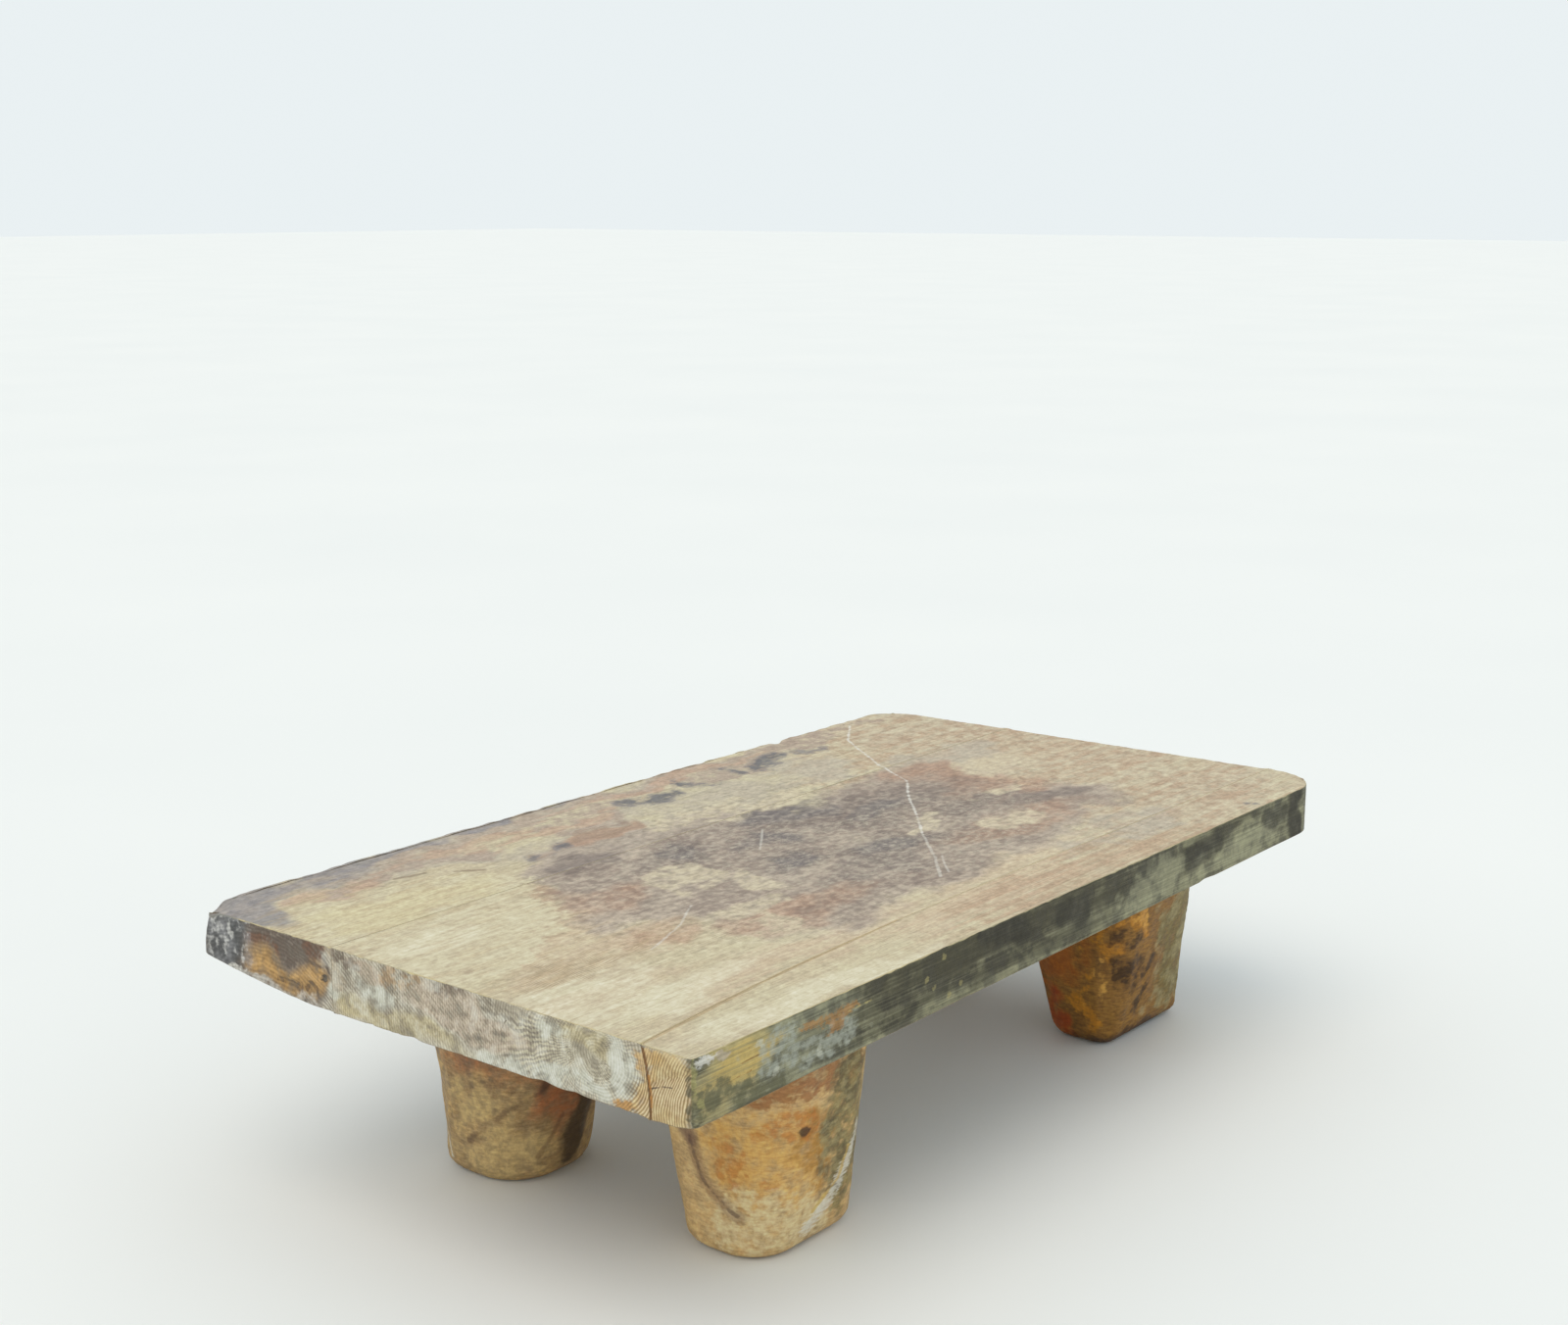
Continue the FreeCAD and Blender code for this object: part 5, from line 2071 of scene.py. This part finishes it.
FRONT_RIGHT_COATS = coats(
    ("#5e3812", 0.45, (), CLOUD, 3.0),
    ("#a87a38", 0.45, (), MOTTLE, 2.8, 0.4, 0.45),
    ("#4a3018", 0.35, (), FINE, -2.6, 0.35, 0.42),
    ("#a66022", 0.9, patches((150, -84, 90, 22, 40, 60), (176, -88, 26, 12, 22, 40)), MOTTLE, 1.6,
     0.45, 0.9),
    ("#96380f", 0.7, patches((176, -90, 24, 12, 22, 20)), MOTTLE, 2.4, 0.4, 0.7),
    ("#ba7c20", 0.9, patches((176, -118, 40, 13, 10, 44), (166, -136, 80, 12, 10, 20),
     (176, -150, 96, 14, 10, 14)), GRIT, 2.4, 0.4, 0.8),
    ("#d6a04c", 0.75, patches((178, -152, 98, 12, 12, 11), (172, -124, 52, 8, 6, 22)), GRIT, 2.8, 0.4,
     0.7),
    ("#756939", 0.85, patches((244, -150, 66, 34, 30, 80)), MOTTLE, 1.8, 0.45, 0.85),
    ("#c0b48c", 0.4, patches((240, -150, 60, 34, 30, 80)), MOTTLE, 3.6, 0.4, 0.36),
    ("#34210d", 0.85, patches((166, -142, 84, 9, 9, 9), (186, -140, 62, 15, 9, 11),
     (204, -146, 50, 14, 8, 10), (190, -130, 30, 16, 8, 12)), GRIT, 2.8, 0.4, 0.8),
    ("#3a2715", 0.8, patches((225, -112, 3, 66, 40, 7)), GRIT, 2.4),
)

BACK_RIGHT_COATS = LEG_BASE + coats(
    ("#7c7452", 0.7, patches((235, 70, 50, 30, 40, 60)), MOTTLE, 2.2, 0.35),
    ("#6c4626", 0.7, patches((200, 20, 80, 50, 26, 40)), MOTTLE, 2.2, 0.35),
)

LEG_FINISHES = {
    "front_left": HewnBillet(
        "Elm billet, adzed, orange and mossy",
        Grain(LEG_RUN, (-255.0, -130.0, 0.0), (0.15, 0.1, 1.0), 3.4, 3.0),
        "#e3bf87", FRONT_LEFT_COATS),
    "back_left": HewnBillet(
        "Elm billet, adzed, red-brown and dark",
        Grain(LEG_RUN, (-232.0, 50.0, 0.0), (0.1, 0.1, 1.0), 3.2, 11.0),
        "#ab9066", BACK_LEFT_COATS),
    "front_right": HewnBillet(
        "Elm billet, adzed, red and golden",
        Grain(LEG_RUN, (220.0, -100.0, 0.0), (0.1, -0.1, 1.0), 3.2, 23.0),
        "#946a2d", FRONT_RIGHT_COATS),
    "back_right": HewnBillet(
        "Elm billet, adzed, brown",
        Grain(LEG_RUN, (200.0, 60.0, 0.0), (-0.1, 0.1, 1.0), 3.2, 31.0),
        "#a07c4a", BACK_RIGHT_COATS),
}


class Fastenings:
    """The fox wedges and bamboo pegs, which stay as packed."""

    wedges = ("front_left_wedge", "back_left_wedge", "front_right_wedge", "back_right_wedge")
    pegs = ("back_joint_pegs", "front_joint_pegs")

    def dress(self) -> None:
        """Give the wedges and pegs their finishes."""
        wedge = HewnBillet(
            "Oak wedge, split",
            Grain((1.2, 1.2, 18.0), (0.0, 0.0, 0.0), (0.0, 0.0, 1.0), 2.2, 41.0), "#a98a5f",
            coats(("#7d6140", 0.6, (), FINE, 3.0, 0.3), ("#c3a87c", 0.4, (), BROAD, 2.4)))
        peg = HewnBillet(
            "Bamboo peg, whittled",
            Grain((0.9, 22.0, 0.9), (0.0, 0.0, 0.0), (0.0, 1.0, 0.0), 1.4, 43.0), "#c9b47e",
            coats(("#a58f56", 0.6, (), FINE, 3.4, 0.3), ("#ded0a3", 0.4, (), BROAD, 2.4)))
        for names, finish in ((self.wedges, wedge), (self.pegs, peg)):
            lows = np.min([node_points(name).min(0) for name in names], axis=0)
            highs = np.max([node_points(name).max(0) for name in names], axis=0)
            material = finish.skin(lows, highs).material
            for name in names:
                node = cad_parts[name]
                node.data.materials.clear()
                node.data.materials.append(material)
                LOG.info("%s: dressed as packed", name)


@dataclass(frozen=True)
class Studio:
    """Pale floor, soft light and the camera.

    Args:
        floor_size: Length of a side of the floor.
        mottle: Size of the floor's faint clouds, in metres.
        room_power: Strength of the even light of the room.
        key_way: The way that the large light comes from.
        key_spread: How wide it is, in degrees.
        key_power: Its strength.
        camera_place: Where the camera stands.
        heading: The way that it looks, in plan.
        pitch: How far it looks down, in degrees.
        lens: Its focal length.
        film: Width of its film.
    """

    floor_size: float = 60000.0
    mottle: float = 0.6
    room_power: float = 0.96
    key_way: Vec3 = (-0.5, -0.1, 1.0)
    key_spread: float = 50.0
    key_power: float = 0.8
    camera_place: Vec3 = (-1165.9, -906.3, 601.5)
    heading: Vec2 = (0.780, 0.626)
    pitch: float = 11.69
    lens: float = 51.75
    film: float = 36.0

    def floor(self) -> None:
        """A wide pale floor under the legs."""
        half = self.floor_size / 2
        points = np.array([(-half, -half, 0), (half, -half, 0), (half, half, 0), (-half, half, 0)])
        floor = make_object("studio_floor", points, [(0, 1, 2, 3)])
        material = bpy.data.materials.new("Painted floor, matt")
        material.use_nodes = True
        tree = material.node_tree
        tree.nodes.clear()
        place = add_node(tree, "ShaderNodeTexCoord").outputs["Object"]
        noise = add_node(tree, "ShaderNodeTexNoise", {"Vector": place, "Scale": 1 / self.mottle})
        colour = mixed(tree, noise.outputs[0], linear("#e9edee"), linear("#eff2f2"))
        shader = add_node(
            tree, "ShaderNodeBsdfPrincipled",
            {"Base Color": colour, "Roughness": 0.8, "IOR": 1.5})
        add_node(tree, "ShaderNodeOutputMaterial", {"Surface": shader.outputs[0]})
        floor.data.materials.append(material)

    def lights(self) -> None:
        """A bright even room with one large soft light over the left."""
        world = bpy.data.worlds.new("Pale room")
        world.use_nodes = True
        world.node_tree.nodes.clear()
        sky = add_node(
            world.node_tree, "ShaderNodeBackground",
            {"Color": linear("#eef5f7"), "Strength": self.room_power})
        add_node(world.node_tree, "ShaderNodeOutputWorld", {"Surface": sky.outputs[0]})
        bpy.context.scene.world = world
        key = bpy.data.lights.new("soft_key", "SUN")
        key.angle = math.radians(self.key_spread)
        key.color = linear("#ffe9cf")[:3]
        key.energy = self.key_power
        light = in_scene("soft_key", key)
        light.rotation_euler = Vector(self.key_way).to_track_quat("Z", "Y").to_euler()

    def camera(self) -> None:
        """The camera at the photographed angle."""
        data = bpy.data.cameras.new("camera")
        data.lens = self.lens
        data.sensor_width = self.film
        camera = in_scene("camera", data)
        camera.location = Vector(self.camera_place) * MM
        flat = math.hypot(*self.heading)
        pitch = math.radians(self.pitch)
        way = Vector((
            self.heading[0] / flat * math.cos(pitch), self.heading[1] / flat * math.cos(pitch),
            -math.sin(pitch)))
        camera.rotation_euler = way.to_track_quat("-Z", "Y").to_euler()
        bpy.context.scene.camera = camera

    def build(self) -> None:
        """Floor, lights and camera, with colours shown as they are."""
        self.floor()
        self.lights()
        self.camera()
        bpy.context.scene.view_settings.view_transform = "Standard"


class LowTable:
    """The whole table."""

    plank_run = (70.0, 1.1, 1.1)

    def __init__(self) -> None:
        """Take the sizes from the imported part."""
        self.plan = TopPlan(tuple(cad_box[0] / MM), tuple(cad_box[1] / MM))
        self.legs = (
            HewnLeg("front_left", self.plan, (-197.25, -116.8), (104.0, 74.4), (-11.04, -5.04),
                    (124.8, 120.0), 0.42, 0.0, 3),
            HewnLeg("back_left", self.plan, (-220.5, 70.31), (86.4, 84.8), (0.0, -9.0),
                    (122.4, 117.6), 0.42, 15.0, 14),
            HewnLeg("front_right", self.plan, (228.25, -104.0), (110.4, 52.8), (-23.4, 0.0),
                    (120.0, 110.4), 0.3, 0.0, 25),
            HewnLeg("back_right", self.plan, (205.0, 69.0), (78.4, 80.0), (-4.8, -6.0),
                    (116.4, 116.4), 0.34, 15.0, 36),
        )
        self.boards = (
            (Board("back_board", "back_board_worn", self.plan, 300, 56, True, False, 5),
             WornPlank("Elm plank, back, planed and stained",
                       Grain(self.plank_run, (0.0, 150.0, 60.0), (1.0, 0.02, 0.01), 2.6, 1.0),
                       "#847970")),
            (Board("middle_board", "middle_board_worn", self.plan, 300, 100, True, True, 6),
             WornPlank("Elm plank, middle, planed and stained",
                       Grain(self.plank_run, (0.0, -126.0, 165.0), (1.0, 0.02, 0.01), 1.9, 7.0),
                       "#b1a792")),
            (Board("front_strip", "front_strip_worn", self.plan, 320, 24, False, True, 7),
             WornPlank("Elm strip, front, planed and scrubbed",
                       Grain(self.plank_run, (0.0, -245.0, 140.0), (1.0, 0.01, 0.01), 1.7, 13.0),
                       "#bfa982")),
        )

    def build(self) -> None:
        """Build and dress every piece."""
        for board, finish in self.boards:
            cutters = []
            if board.node == "middle_board":
                cutters += [leg.mortise() for leg in self.legs]
            if board.node != "front_strip":
                cutters.append(swollen_copy("back_joint_pegs"))
            if board.node != "back_board":
                cutters.append(swollen_copy("front_joint_pegs"))
            board.dress(finish, cutters)
        for leg in self.legs:
            leg.dress(LEG_FINISHES[leg.name])
        Fastenings().dress()


def main() -> None:
    """Build the table and its studio."""
    logging.basicConfig(level=logging.INFO, format="%(name)s: %(message)s")
    LowTable().build()
    Studio().build()


if __name__ == "__main__":
    main()
